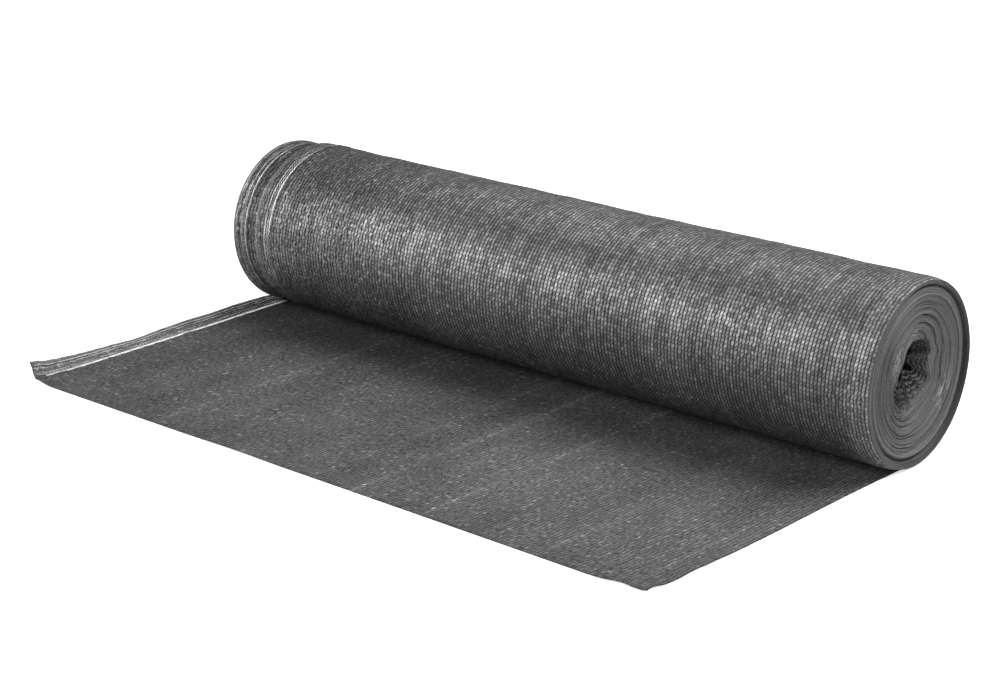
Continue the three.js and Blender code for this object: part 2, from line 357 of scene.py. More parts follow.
def shader_group(name: str, inputs: dict[str, tuple[str, Source]],
                 build: Callable[[Tree, Sequence[NodeSocket]], dict[str, NodeSocket]]) -> NodeTree:
    """A node group, made once and found again by its name.

    Args:
        name: the group's name.
        inputs: each input's kind of socket and its first value.
        build: makes the nodes from the group's inputs, and gives its outputs by name.

    Returns:
        The group.
    """
    found = bpy.data.node_groups.get(name)
    if found:
        return found
    made = bpy.data.node_groups.new(name, "ShaderNodeTree")
    for key, (kind, value) in inputs.items():
        made.interface.new_socket(key, in_out="INPUT", socket_type="NodeSocket" + kind).default_value = value
    entry, leave = made.nodes.new("NodeGroupInput"), made.nodes.new("NodeGroupOutput")
    outputs = build(Tree(made), entry.outputs)
    for key in outputs:
        made.interface.new_socket(key, in_out="OUTPUT", socket_type="NodeSocketFloat")
    for key, value in outputs.items():
        made.links.new(value, leave.inputs[key])
    return made


def knit_group() -> NodeTree:
    """The knit: a chain of stitches up each wale, and tapes that zigzag between the wales.

    A stitch is the product of two smooth steps, of the distances from the middle of its wale and of its
    course. A tape lies where the place along the cloth plus the distance from the wale is near the middle of
    a course. The whole drifts about by a noise, most near the selvedge.

    Returns:
        The group.
    """

    def build(tree: Tree, entry: Sequence[NodeSocket]) -> dict[str, NodeSocket]:
        """The group's nodes.

        Args:
            tree: the group's own nodes.
            entry: its inputs, by name.

        Returns:
            Masks of the stitches and the tapes, each stitch's own chance, and the height.
        """
        place = entry["Place"]
        by_selvedge = tree.ramp(tree.parts(place)[0], 0.14, 0.42, 1.0, 0.0)
        loose = tree.math("MAXIMUM", tree.ramp(tree.noise(place, 9.0), 0.38, 0.62, 0.1, 0.6), by_selvedge)
        drift = tree.vector("SUBTRACT", tree.noise(place, 130.0, output="Color"), (0.5, 0.5, 0.5))
        drift = tree.scaled(drift, tree.times(entry["Drift"], loose))
        cells = tree.scaled(tree.vector("ADD", place, drift), tree.math("DIVIDE", 1.0, entry["Pitch"]))
        across, along, _ = tree.parts(cells)
        side = tree.math("SUBTRACT", tree.math("FRACT", across), 0.5)
        wale = tree.math("ABSOLUTE", side)
        slanted = tree.math("FRACT", tree.math("MULTIPLY_ADD", side, 0.5, along))
        course = tree.math("ABSOLUTE", tree.math("SUBTRACT", slanted, 0.5))
        stitch = tree.times(tree.ramp(wale, 0.16, 0.48, 1.0, 0.0), tree.ramp(course, 0.18, 0.5, 1.0, 0.42))
        slant = tree.math("FRACT", tree.math("ADD", along, wale))
        tape = tree.ramp(tree.math("ABSOLUTE", tree.math("SUBTRACT", slant, 0.5)), 0.12, 0.34, 1.0, 0.0)
        chance = tree.node("TexWhiteNoise", tree.vector("FLOOR", cells), noise_dimensions="2D")
        height = tree.math("MAXIMUM", stitch, tree.times(tape, 0.38))
        return {"Stitch": stitch, "Tape": tape, "Chance": chance.outputs["Value"], "Height": height}

    inputs = {"Place": ("Vector", NO_PLACE), "Pitch": ("Float", KNIT_PITCH), "Drift": ("Float", 0.0)}
    return shader_group("knit", inputs, build)


def mottle_group() -> NodeTree:
    """Dust and uneven yarn: large soft patches and fine grain, about 1.

    Returns:
        The group.
    """

    def build(tree: Tree, entry: Sequence[NodeSocket]) -> dict[str, NodeSocket]:
        """The group's nodes.

        Args:
            tree: the group's own nodes.
            entry: its inputs, by name.

        Returns:
            The mottle.
        """
        patches = tree.math("SUBTRACT", tree.noise(entry["Place"], 14.0, 3.0, 0.55), 0.5)
        grain = tree.math("SUBTRACT", tree.noise(entry["Place"], 420.0, 2.0, 0.6), 0.5)
        total = tree.math("MULTIPLY_ADD", grain, entry["Grain"], tree.times(patches, entry["Amount"]))
        return {"Mottle": tree.math("ADD", total, 1.0)}

    inputs = {"Place": ("Vector", NO_PLACE), "Amount": ("Float", 0.5), "Grain": ("Float", 0.8)}
    return shader_group("mottle", inputs, build)


# Finishes

@dataclass(frozen=True)
class Finish:
    """A fabric finish. Each kind paints its own colour and height over the cloth's coordinates."""

    name: str
    roughness: float = 0.5
    relief: float = 0.0005
    glaze: float = 0.46
    shine: float = 0.3
    duller_gaps: float = 0.2
    coat_index: float = 2.1

    def paint(self, tree: Tree, place: NodeSocket, tone: NodeSocket) -> Painted:
        """The colour and the height over the surface.

        Args:
            tree: the material's nodes.
            place: the cloth's coordinates, in metres.
            tone: how light the mesh says that the point is.

        Returns:
            The colour and the height.
        """
        raise NotImplementedError

    def gloss(self, tree: Tree, place: NodeSocket) -> Source:
        """How much of the surface has the yarn's gloss: none, unless a finish says otherwise."""
        return 0.0

    def glow(self, tree: Tree) -> Source:
        """The surface's own light: none, unless a finish says otherwise."""
        return (0.0, 0.0, 0.0, 1.0)

    def material(self) -> Material:
        """The material, with its colour, relief, roughness and gloss.

        Returns:
            The material, not yet on any piece.
        """
        made = bpy.data.materials.new(self.name)
        made.use_nodes = True
        made.node_tree.nodes.clear()
        tree = Tree(made.node_tree)
        place = tree.node("UVMap", uv_map="cloth").outputs[0]
        tone = tree.node("Attribute", attribute_name="tone").outputs["Fac"]
        colour, height = self.paint(tree, place, tone)
        relief = tree.fill(tree.node("Bump"), {"Distance": self.relief, "Height": height})
        surface = tree.fill(tree.node("BsdfPrincipled"), {
            "Base Color": colour,
            "Roughness": tree.ramp(height, 0.0, 1.0, self.roughness + self.duller_gaps, self.roughness),
            "Normal": relief.outputs[0],
            "Specular IOR Level": self.shine,
            "Coat Weight": self.gloss(tree, place),
            "Coat Roughness": self.glaze,
            "Coat IOR": self.coat_index,
            "Emission Color": self.glow(tree),
            "Emission Strength": 1.0,
        })
        tree.node("OutputMaterial", surface.outputs[0])
        return made


@dataclass(frozen=True)
class Netting(Finish):
    """Knitted netting: dark gaps, grey tapes between the wales and lighter stitches up them."""

    gap: float = 0.016
    tape: float = 0.032
    stitch: float = 0.074
    speck: float = 0.08
    speck_rarity: float = 24.0
    drift: float = 0.0085
    patches: float = 0.7
    grain: float = 1.8
    drawn_out: float = 1.0
    sheen: float = 1.0
    shine: float = 0.1
    band_draw: float = 0.12

    def knit(self, tree: Tree, place: NodeSocket) -> Sequence[NodeSocket]:
        """The knit's masks over the cloth."""
        return tree.group(knit_group(), Place=place, Drift=self.drift)

    def paint(self, tree: Tree, place: NodeSocket, tone: NodeSocket) -> Painted:
        """Gap, tape and stitch tones over each other, each stitch by its own chance a little lighter."""
        knit = self.knit(tree, place)
        spot = tree.vector("MULTIPLY", place, (1.0, self.drawn_out, 1.0))
        mottle = tree.group(mottle_group(), Place=spot, Amount=self.patches, Grain=self.grain)[0]
        light = tree.math("MULTIPLY_ADD", knit["Chance"], 0.8 * self.stitch, 0.6 * self.stitch)
        specks = tree.math("POWER", knit["Chance"], self.speck_rarity)
        light = tree.math("MULTIPLY_ADD", specks, self.speck, light)
        base = tree.math("MULTIPLY_ADD", knit["Tape"], self.tape - self.gap, self.gap)
        value = tree.math("MULTIPLY_ADD", knit["Stitch"], light, base)
        return tree.grey(tree.times(value, mottle, tone)), knit["Height"]

    def gloss(self, tree: Tree, place: NodeSocket) -> Source:
        """The tops of the stitches, each by its own chance, glossier or duller, in bands along the wales."""
        knit = self.knit(tree, place)
        share = tree.math("MULTIPLY_ADD", knit["Chance"], 0.7 * self.sheen, 0.3 * self.sheen)
        spot = tree.vector("MULTIPLY", place, (1.0, self.band_draw, 1.0))
        bands = tree.ramp(tree.noise(spot, 48.0, 3.0, 0.6), 0.36, 0.64, 0.65, 1.3)
        return tree.times(knit["Stitch"], share, bands)


@dataclass(frozen=True)
class Yarn(Finish):
    """A plain twisted yarn: a pale or dark colour with slanting plies."""

    shade: float = 0.6
    ply: float = 0.0035
    ply_depth: float = 0.3

    def paint(self, tree: Tree, place: NodeSocket, tone: NodeSocket) -> Painted:
        """Plies as a sine of the length plus the girth, and the colour a little darker between them."""
        girth, length, _ = tree.parts(place)
        wave = tree.math("SINE", tree.times(tree.math("ADD", girth, length), 2.0 * math.pi / self.ply))
        ply = tree.math("MULTIPLY_ADD", wave, 0.5, 0.5)
        mottle = tree.group(mottle_group(), Place=place, Amount=0.7, Grain=0.5)[0]
        deep = self.ply_depth * self.shade
        value = tree.math("MULTIPLY_ADD", ply, deep, self.shade - deep)
        return tree.grey(tree.times(value, mottle, tone)), ply


@dataclass(frozen=True)
class TurnEdges(Finish):
    """The edges of the turns at the roll's end: fine rings, with frayed yarn ends that catch the light."""

    shade: float = 0.066
    ring_draw: float = 0.12

    def paint(self, tree: Tree, place: NodeSocket, tone: NodeSocket) -> Painted:
        """Rings as a noise drawn out along them, broken up by a finer one."""
        rings = tree.noise(tree.vector("MULTIPLY", place, (1.0, self.ring_draw, 1.0)), 900.0, 3.0, 0.65)
        fray = tree.noise(place, 380.0, 3.0, 0.7)
        height = tree.math("MULTIPLY_ADD", fray, 0.5, tree.times(rings, 0.5))
        return tree.grey(tree.times(tree.ramp(height, 0.36, 0.68, 0.75, 1.3), self.shade, tone)), height


@dataclass(frozen=True)
class Floor(Finish):
    """A matt pale floor with a trace of unevenness."""

    shade: float = 0.9
    lift: float = 0.6

    def paint(self, tree: Tree, place: NodeSocket, tone: NodeSocket) -> Painted:
        """One pale tone over a faint broad noise."""
        wave = tree.noise(place, 0.4, 1.0)
        return tree.blend(tree.times(wave, 0.02), (self.shade,) * 3 + (1.0,), (1.0,) * 4), wave

    def glow(self, tree: Tree) -> Source:
        """A little light of its own, for the camera alone, so that the floor is as white as the room."""
        seen = tree.node("LightPath").outputs["Is Camera Ray"]
        return tree.blend(seen, (0.0,) * 3 + (1.0,), (self.lift,) * 3 + (1.0,))


# The roll's form

@dataclass(frozen=True)
class Hole:
    """The outline of the hole through the roll, about a centre of its own, by angle."""

    centre: tuple[float, float]
    outline: Profile

    @property
    def mean(self) -> float:
        """The mean radius of the outline's rows."""
        return float(np.mean([row[2] for row in self.outline.rows]))


NEAR_HOLE = Hole((-0.0205, 0.017), Profile((
    ("upper lobe", 0, 0.012), ("upper notch", 15, 0.025), ("upper right", 40, 0.023), ("top", 60, 0.022),
    ("top left", 90, 0.017), ("left", 135, 0.0145), ("left wall", 175, 0.0155), ("lower left", 205, 0.021),
    ("tongue side", 225, 0.027), ("tongue", 247, 0.035), ("tongue foot", 262, 0.020),
    ("lower lobe", 277, 0.0105), ("lower lobe top", 300, 0.0115), ("slit side", 318, 0.016),
    ("slit", 331, 0.033), ("slit end", 345, 0.014),
), 360.0))
FAR_HOLE = Hole((-0.017, 0.014), Profile((
    ("back", 10, 0.023), ("top", 85, 0.020), ("front", 160, 0.025), ("lower front", 215, 0.020),
    ("bottom", 270, 0.023), ("fold", 320, 0.018),
), 360.0))


@dataclass(frozen=True)
class RollForm:
    """The wound form: its surface between two rims, and the turns between that surface and the hole."""

    length: float = 1.0
    radius: float = 0.108
    flat_spot: float = 0.028
    near_skew: float = 0.0053
    near_tilt: float = 0.0015
    skew_reach: float = 0.12
    crumple_fade: float = 3.0
    centre_fade: float = 2.0
    surface: Profile = Profile((
        ("far rim", 0.0, 0.0016), ("far lip", 0.0025, 0.0006), ("far bulge", 0.0065, 0.0004),
        ("inner turns' selvedge", 0.012, 0.0013), ("inner turns' strands", 0.022, 0.003),
        ("valley", 0.031, 0.0053), ("valley foot", 0.040, 0.005), ("outer turn's edge", 0.042, 0.0022),
        ("outer turn's selvedge", 0.050, 0.0006), ("outer turn's strands", 0.062, 0.0),
        ("body start", 0.082, 0.0002), ("body end", 0.970, 0.0005), ("near shoulder", 0.988, 0.0008),
        ("near round", 0.996, 0.0015), ("near rim", 1.0, 0.0028),
    ))
    dents: tuple[tuple, ...] = (
        ("far hump", 0.006, 68, 0.016, 34, 0.0022), ("filled valley", 0.036, 68, 0.012, 34, -0.0030),
        ("far shoulder", 0.085, 64, 0.030, 26, -0.0012),
        ("top sag", 0.610, 95, 0.120, 38, 0.0017), ("front hollow", 0.330, 160, 0.150, 30, 0.0007),
        ("back hollow", 0.380, 20, 0.160, 34, 0.0015), ("back press", 0.790, -15, 0.130, 26, 0.0012),
    )
    hole_run: Profile = Profile((
        ("far mouth", 0.0, 0.0), ("far throat", 0.120, 0.15), ("middle", 0.500, 0.4),
        ("near throat", 0.860, 0.6), ("near mouth", 0.955, 0.95), ("near face", 1.0, 1.0),
    ))

    @property
    def axis_height(self) -> float:
        """The axis lies above the floor by the half chord of the flat spot, short of the radius."""
        return math.sqrt(self.radius ** 2 - (self.flat_spot / 2) ** 2)

    def drop(self, along: Array, angle: Array) -> Array:
        """How far the surface lies in from the full radius.

        Args:
            along: distance from the far end.
            angle: degrees round the roll.

        Returns:
            The profile's drop plus the dents' soft bumps.
        """
        dents = sum(
            depth * bump((along - place) / reach, around(angle, middle) / spread)
            for _, place, middle, reach, spread, depth in self.dents
        )
        return self.surface.at(along) + dents

    def lean(self, along: Array, angle: Array) -> Array:
        """How far the near end's lean pushes a section along the axis.

        Args:
            along: distance from the far end.
            angle: degrees round the roll.

        Returns:
            The tilt by the sine of the angle and the skew by its cosine.
        """
        share = smooth((along - self.length + self.skew_reach) / self.skew_reach)
        turn = np.radians(angle)
        return (self.near_tilt * np.sin(turn) - self.near_skew * np.cos(turn)) * share

    def point(self, along: Array, angle: Array, out: Array | float = 1.0, hole: Hole = NEAR_HOLE,
              inset: Array | float = 0.0) -> Array:
        """A point between the hole's outline (out 0) and the wound surface (out 1).

        The radius goes in a straight line from the hole's mean radius to the surface's, the outline's
        crumples die out with the cube of the distance left, and the centre moves over with its square.

        Args:
            along: distance from the far end.
            angle: degrees round the roll.
            out: share of the way out.
            hole: the outline in use.
            inset: how far inside that radius the point lies.

        Returns:
            The points, with a last axis of 3.
        """
        along, angle, out = np.broadcast_arrays(along, angle, out)
        turn = np.radians(angle)
        outer = self.radius - self.drop(along, angle)
        left = 1.0 - out
        radius = hole.mean + (outer - hole.mean) * out - inset
        radius = radius + (hole.outline.at(angle) - hole.mean) * left ** self.crumple_fade
        offset = left ** self.centre_fade
        x = along - self.length / 2 + self.lean(along, angle)
        y = hole.centre[0] * offset + radius * np.cos(turn)
        z = self.axis_height + hole.centre[1] * offset + radius * np.sin(turn)
        return np.stack([x, y, np.maximum(0.0, z)], -1)

    def hole_wall(self, along: Array, angle: Array, inset: Array | float = 0.0) -> Array:
        """A point of the hole's wall: both mouths' outlines and centres mixed by their share there.

        Args:
            along: distance from the far end.
            angle: degrees round the roll.
            inset: how far inside the outline the point lies.

        Returns:
            The points, with a last axis of 3.
        """
        share, turn = self.hole_run.at(along), np.radians(angle)
        far, near = ((hole.outline.at(angle), *hole.centre) for hole in (FAR_HOLE, NEAR_HOLE))
        radius, y, z = (one * (1 - share) + other * share for one, other in zip(far, near))
        radius = radius - inset
        x, y = along - self.length / 2, y + radius * np.cos(turn)
        z = self.axis_height + z + radius * np.sin(turn)
        return np.stack(np.broadcast_arrays(x, y, z), -1)


# The selvedge's yarns

class Pale(Enum):
    """How pale one of the selvedge's yarns is."""

    WHITE = "white"
    DULL = "dull"
    GREY = "grey"


@dataclass(frozen=True)
class Strand:
    """One yarn along the selvedge: its place across the cloth, its radius and how it is broken up."""

    name: str
    across: float
    radius: float
    kind: Pale
    swing: float = 0.0
    shown: float = 1.0


EDGE_CORD = Strand("edge cord", 0.0008, 0.0011, Pale.GREY)
LAID_SELVEDGE = (
    EDGE_CORD,
    Strand("thin outer line", 0.0036, 0.0005, Pale.DULL, shown=0.8),
    Strand("dotted line", 0.0066, 0.0004, Pale.DULL, swing=0.0007, shown=0.55),
    Strand("ladder", 0.0112, 0.0005, Pale.GREY, swing=0.0022),
    Strand("second dotted line", 0.0136, 0.0004, Pale.DULL, swing=0.0007, shown=0.55),
    Strand("thin inner line", 0.0162, 0.0004, Pale.DULL, shown=0.6),
    Strand("white band, first yarn", 0.0200, 0.0010, Pale.WHITE, shown=0.82),
    Strand("white band, second yarn", 0.0215, 0.0011, Pale.WHITE, shown=0.84),
    Strand("white band, third yarn", 0.0229, 0.0010, Pale.WHITE, shown=0.8),
)
INNER_SELVEDGE = (
    EDGE_CORD,
    Strand("thin outer line", 0.0042, 0.0005, Pale.DULL, shown=0.7),
    Strand("thin inner line", 0.0140, 0.0005, Pale.DULL, shown=0.75),
    Strand("white line", 0.0200, 0.0009, Pale.DULL, swing=0.0004, shown=0.88),
)
OUTER_SELVEDGE = (
    EDGE_CORD,
    Strand("thin outer line", 0.0055, 0.0004, Pale.GREY, shown=0.7),
    Strand("white band, first yarn", 0.0192, 0.0007, Pale.DULL, swing=0.0004, shown=0.7),
    Strand("white band, middle", 0.0232, 0.0005, Pale.DULL, swing=0.0016, shown=0.6),
    Strand("white band, last yarn", 0.0274, 0.0011, Pale.DULL, swing=0.0005, shown=0.6),
)


@dataclass
class SelvedgeYarns:
    """The yarns along one stretch of selvedge, laid on the cloth's surface.

    point gives the surface from across and along, and the stretch runs along the cloth from start to end. The
    yarns carry painted light around one place along the cloth, and the white ones stop at white_end.
    """

    name: str
    point: Callable[[Array, Array], Array]
    start: float
    end: float
    closed: bool
    seed: int
    strands: tuple[Strand, ...]
    white_end: float = 1.0
    painted_light_at: float = 0.0
    painted_light_reach: float = 100.0
    painted_light_gain: float = 1.0
    light: float = 0.4
    step: float = 0.00125
    sides: int = 6
    straying: float = 0.0004
    cover_length: float = 0.014
    cover_edge: float = 0.08
    beading: float = 0.12
    thinning: float = 0.7
    sinking: float = 1.05

    def sunk(self, strand: Strand, share: Array, cells: int) -> Array:
        """How far black stitches cover a yarn: a random row of stretches, one for all the white yarns.

        Args:
            strand: the yarn.
            share: places along it, from 0 to 1.
            cells: the number of stretches.

        Returns:
            0 where it is open and 1 where it is covered.
        """
        if strand.shown >= 1.0:
            return np.zeros_like(share)
        apart = 0 if strand.kind is Pale.WHITE else round(strand.across * 1e4)
        cover = 0.5 + 0.5 * Wander(self.seed + apart, (cells, 1)).at(share)
        return smooth((cover - strand.shown) / self.cover_edge)

    def strand(self, strand: Strand) -> Patch:
        """A strand's tube along its centreline, with painted light around one place along the cloth.

        The yarn swings across by a sine of the length, and it thins and sinks where it is covered.

        Args:
            strand: the yarn.

        Returns:
            Its patch.
        """
        end = min(self.end, self.white_end) if strand.kind is Pale.WHITE else self.end
        reach = end - self.start
        along = np.linspace(self.start, end, int(reach / self.step), endpoint=not self.closed)
        share = (along - self.start) / reach
        turn = 2.0 * math.pi * round(reach / KNIT_PITCH) * share
        across = strand.across + strand.swing * np.sin(turn)
        across = across + self.straying * Wander(self.seed + 3, (41, 1)).at(share + strand.across)
        small = 0.0004
        here = self.point(across, along)
        ahead = self.point(across, along + small) - here
        up = unit(np.cross(self.point(across + small, along) - here, ahead))
        cells = max(12, round(reach / self.cover_length))
        sunk = self.sunk(strand, share, cells)
        bead = 1.0 + self.beading * np.sin(turn * (1.0 if strand.swing else 2.0))
        girth = strand.radius * bead * (1.0 - self.thinning * sunk)
        path = here + up * (strand.radius * (0.5 - self.sinking * sunk))[:, None]
        path[:, 2] = np.maximum(path[:, 2], girth)
        made = tube(path, up, girth, self.sides, self.closed)
        # painted light: the yarn lighter around one place along the cloth
        light = self.light + self.painted_light_gain * bump((along - self.painted_light_at) / self.painted_light_reach)
        light = light * (1.0 + 0.35 * Wander(self.seed + 7, (cells * 3, 1)).at(share + strand.across * 40.0))
        made.tone = np.repeat(light, self.sides)
        return made

    def make(self, finishes: dict[Pale, Material]) -> list[Object]:
        """One joined piece for each kind of yarn.

        Args:
            finishes: the material of each kind.

        Returns:
            The pieces.
        """
        pieces = []
        for kind in Pale:
            tubes = [self.strand(strand) for strand in self.strands if strand.kind is kind]
            if tubes:
                pieces.append(Patch.join(tubes).make(f"{self.name}_{kind.value}_yarns", finishes[kind]))
        return pieces


# The roll

@dataclass
class EndGrid:
    """The points of one end by share of the way out and angle, with what more than one effect is drawn from.

    share is of the roll's whole radius, lobes is 1 on the side of the crumpled turns, crumple is how much
    they crumple, waves are the crumples, and narrow is how far the rim draws in at the top.
    """

    out: Array
    angle: Array
    share: Array
    lobes: Array
    crumple: Array
    waves: Array
    narrow: Array


@dataclass
class WoundRoll:
    """The turns wound on each other: the outer turn, the inner ones that stand out, both ends, the hole."""

    form: RollForm = field(default_factory=RollForm)
    spokes: int = 236
    edge_start: float = 0.042
    lip: tuple[tuple[float, float], ...] = (
        (0.0440, 0.0046), (0.0424, 0.0044), (0.0416, 0.0036), (0.0417, 0.0027), (0.0422, 0.0020),
    )
    tucked_from: float = 0.0395
    tucked_depth: float = 0.0052
    wale_relief: float = 0.00018
    wale_stretch: tuple[float, float] = (0.94, 0.05)
    lumps: float = 0.0004
    near_face: Profile = Profile((
        ("hole edge", 0.0, 0.0045, 0.011), ("lobe turns", 0.14, 0.0032, 0.007),
        ("lobe foot", 0.28, 0.003, 0.0032), ("inner step", 0.4, 0.0034, 0.0016),
        ("middle ring", 0.55, 0.0028, 0.0006), ("ring foot", 0.7, 0.0034, 0.0),
        ("bright ring", 0.82, 0.002, 0.0), ("groove inside", 0.868, 0.0024, 0.0),
        ("groove foot", 0.885, 0.0055, 0.0), ("groove outside", 0.9, 0.003, 0.0),
        ("rim inside", 0.915, 0.0006, 0.0), ("rim crest", 0.975, 0.0002, 0.0), ("rim", 1.0, 0.0004, 0.0),
    ))
    far_face: Profile = Profile((
        ("hole edge", 0.0, 0.0055, 0.006), ("lobe turns", 0.15, 0.004, 0.004),
        ("inner step", 0.35, 0.0036, 0.001), ("middle ring", 0.6, 0.003, 0.0),
        ("groove inside", 0.84, 0.0022, 0.0), ("groove foot", 0.87, 0.005, 0.0),
        ("rim inside", 0.9, 0.001, 0.0), ("rim crest", 0.97, 0.0003, 0.0), ("rim", 1.0, 0.0004, 0.0),
    ))
    lobe_direction: float = -45.0
    crumple_depth: float = 0.0022
    rib_depth: float = 0.0045
    ribs: float = 17.0
    fray_height: float = 0.0012
    fold_depth: float = 0.0012
    rim_tuck: float = 0.0005
    layers: float = 58.0
    layer_relief: float = 0.00045
    layer_wander: float = 0.0005
    # painted shade over each end's outer rim, by angle: darkest on the right and at the bottom
    painted_rim_shade: Profile = Profile((
        ("right", 0, 0.2), ("upper right", 42, 0.32), ("top", 85, 0.7), ("left", 180, 0.95),
        ("lower left", 225, 0.7), ("bottom", 270, 0.42), ("lower right", 315, 0.25),
    ), 360.0)
    rim_warp: float = 0.045
    # painted highlight lines on the rim's edges, with a painted shadow line between them: name, share of the
    # radius, width and strength
    painted_rim_lines: tuple[tuple, ...] = (
        ("outer light line", 0.945, 0.006, 1.0), ("dark line", 0.925, 0.008, -0.55),
        ("inner light line", 0.905, 0.006, 0.5),
    )
    streaks: tuple[tuple[float, float], ...] = (
        (0.19, 0.7), (0.27, 0.9), (0.31, 0.6), (0.38, 1.0), (0.45, 0.4), (0.63, 0.9), (0.66, 0.6),
        (0.82, 0.4),
    )
    streak_width: float = 0.0028
    frays: tuple[tuple, ...] = (
        ("top fray", 0.23, 88, 0.06, 15), ("upper left fray", 0.31, 151, 0.11, 22),
        ("left fray", 0.14, 205, 0.05, 12), ("left middle fray", 0.18, 172, 0.09, 16),
        ("low right specks", 0.6, -31, 0.12, 15),
    )
    arcs: int = 70
    # arcs of painted shade between turns: name, share of the radius, middle angle, span and depth
    gaps: tuple[tuple, ...] = (
        ("lower arc", 0.655, -118, 40, 0.0022), ("second lower arc", 0.69, -112, 30, 0.0016),
        ("outer lower arc", 0.835, -128, 42, 0.0016), ("upper arc", 0.685, 60, 40, 0.002),
        ("second upper arc", 0.61, 86, 30, 0.002), ("wavy line", 0.50, 34, 44, 0.003),
        ("inner wavy line", 0.37, 25, 48, 0.003), ("side ring", 0.78, -70, 50, 0.002),
        ("left ring", 0.745, -165, 30, 0.002), ("low middle line", 0.565, -104, 46, 0.0026),
        ("low inner line", 0.50, -98, 40, 0.0024), ("low crumple", 0.44, -110, 36, 0.0026),
        ("right line", 0.585, -8, 34, 0.002), ("outer right line", 0.83, 10, 50, 0.0018),
    )

    def surface_point(self, along: Array, angle: Array, inset: Array | float = 0.0) -> Array:
        """The wound surface with its small lumps: a random surface drawn out round the roll.

        Args:
            along: distance from the far end.
            angle: degrees round the roll.
            inset: how far inside the surface the point lies.

        Returns:
            The points, with a last axis of 3.
        """
        lumps = Wander(11, (60, 9)).at(along / self.form.length, angle / 360.0)
        lumps = lumps + 0.6 * Wander(12, (23, 5)).at(along / self.form.length, angle / 360.0)
        return self.form.point(along, angle, 1.0, inset=inset - self.lumps * lumps * smooth(along / 0.05))

    def lobes(self, angle: Array) -> Array:
        """1 in the direction of the crumpled inner turns, and 0 across from it."""
        return 0.5 + 0.5 * np.cos(np.radians(angle - self.lobe_direction))

    def tones(self, along: Array, angle: Array) -> Array:
        """How light the cloth is: lighter wales, uneven bands, painted shade over the far top and painted
        shade along the foot.

        Args:
            along: distance from the far end.
            angle: degrees round the roll.

        Returns:
            1 for as the finish is, at each place.
        """
        rows = self.streaks
        streaks = sum(strength * bump((along - place) / self.streak_width) for place, strength in rows)
        bands = Wander(21, (170, 3)).at(along, angle / 360.0) + Wander(23, (41, 2)).at(along, angle / 360.0)
        total = 1.0 + streaks * bump(around(angle, 112.0) / 34.0) + 0.12 * bands
        total = total + 0.1 * Wander(22, (14, 7)).at(along, angle / 360.0)
        far = smooth((0.4 - along) / 0.25)
        # painted shade over the top of the roll's far half
        painted_far_top_shade = 1.0 - 0.3 * far * bump(around(angle, 105.0) / 38.0)
        # painted shade low on the roll's front, along its foot, more at the far half
        foot = 1.0 - (0.26 + 0.16 * far) * bump(around(angle, 235.0) / 34.0)
        near_rim = 1.0 + 0.3 * smooth((along - 0.972) / 0.01)
        return total * painted_far_top_shade * near_rim * foot

    @staticmethod
    def wound(points: Array, across: Array, radius: float, tone: Array, flip: bool = False) -> Patch:
        """A patch from rows of points that run round and close.

        Args:
            points: rows by columns by 3.
            across: each row's place across the cloth.
            radius: what the cloth is wound on, for its place along.
            tone: how light each point is.
            flip: turns the faces over.

        Returns:
            The patch.
        """
        corners = np.radians(np.append(spokes(points.shape[1]), 360.0)) * radius
        cloth = np.stack(np.meshgrid(across, corners, indexing="ij"), -1)
        return Patch.grid(points, cloth, (False, True), flip, tone)

    def outer_turn(self, material: Material) -> Object:
        """The outer turn: the surface from its folded edge to the near rim, raised along every wale.

        A wale stands out by half of one minus the cosine of its place, so two rows of points a wale carry it.
        The place across the cloth is a quartic of the share of the roll's length, as the wales lie closer
        near its end.

        Args:
            material: the wound netting.

        Returns:
            The piece.
        """
        width = self.form.length - self.edge_start
        half = KNIT_PITCH / 2 / width
        steady, gain = self.wale_stretch
        places = np.arange(half, steady + gain - half / 2, half)
        evenly = np.linspace(0.0, 1.0, 400)
        body = self.edge_start + width * np.interp(places, steady * evenly + gain * evenly ** 4, evenly)
        lip_along, lip_drop = np.array(self.lip).T
        along = np.concatenate([lip_along, body, [self.form.length - 0.0008, self.form.length]])
        a, t = np.meshgrid(along, spokes(self.spokes), indexing="ij")
        share = (along - self.edge_start) / width
        across = width * (steady * share + gain * share ** 4)
        inset = self.wale_relief * (0.5 - ripple(across / KNIT_PITCH))[:, None] + 0.0 * t
        folded = len(lip_drop)
        inset[:folded] = lip_drop[:, None] - self.form.surface.at(a[:folded])
        patch = self.wound(self.surface_point(a, t, inset), across, self.form.radius, self.tones(a, t))
        return patch.make("outer_turn", material)

    def inner_turns(self, material: Material) -> Object:
        """The turns that stand out past the outer one, from the far rim to where they go under it.

        Args:
            material: the wound netting.

        Returns:
            The piece.
        """
        along = np.concatenate([np.linspace(0.0, 0.01, 9), np.linspace(0.0115, 0.046, 24)])
        a, t = np.meshgrid(along, spokes(self.spokes), indexing="ij")
        under = np.maximum(0.0, self.tucked_depth - self.form.surface.at(a)) * (a > self.tucked_from)
        # painted shade: the inner turns darker in the valley where they go under the outer turn
        tone = self.tones(a, t) * (1.0 - 0.4 * smooth((a - 0.024) / 0.006))
        patch = self.wound(self.surface_point(a, t, under), along, self.form.radius, tone)
        return patch.make("inner_turns", material)

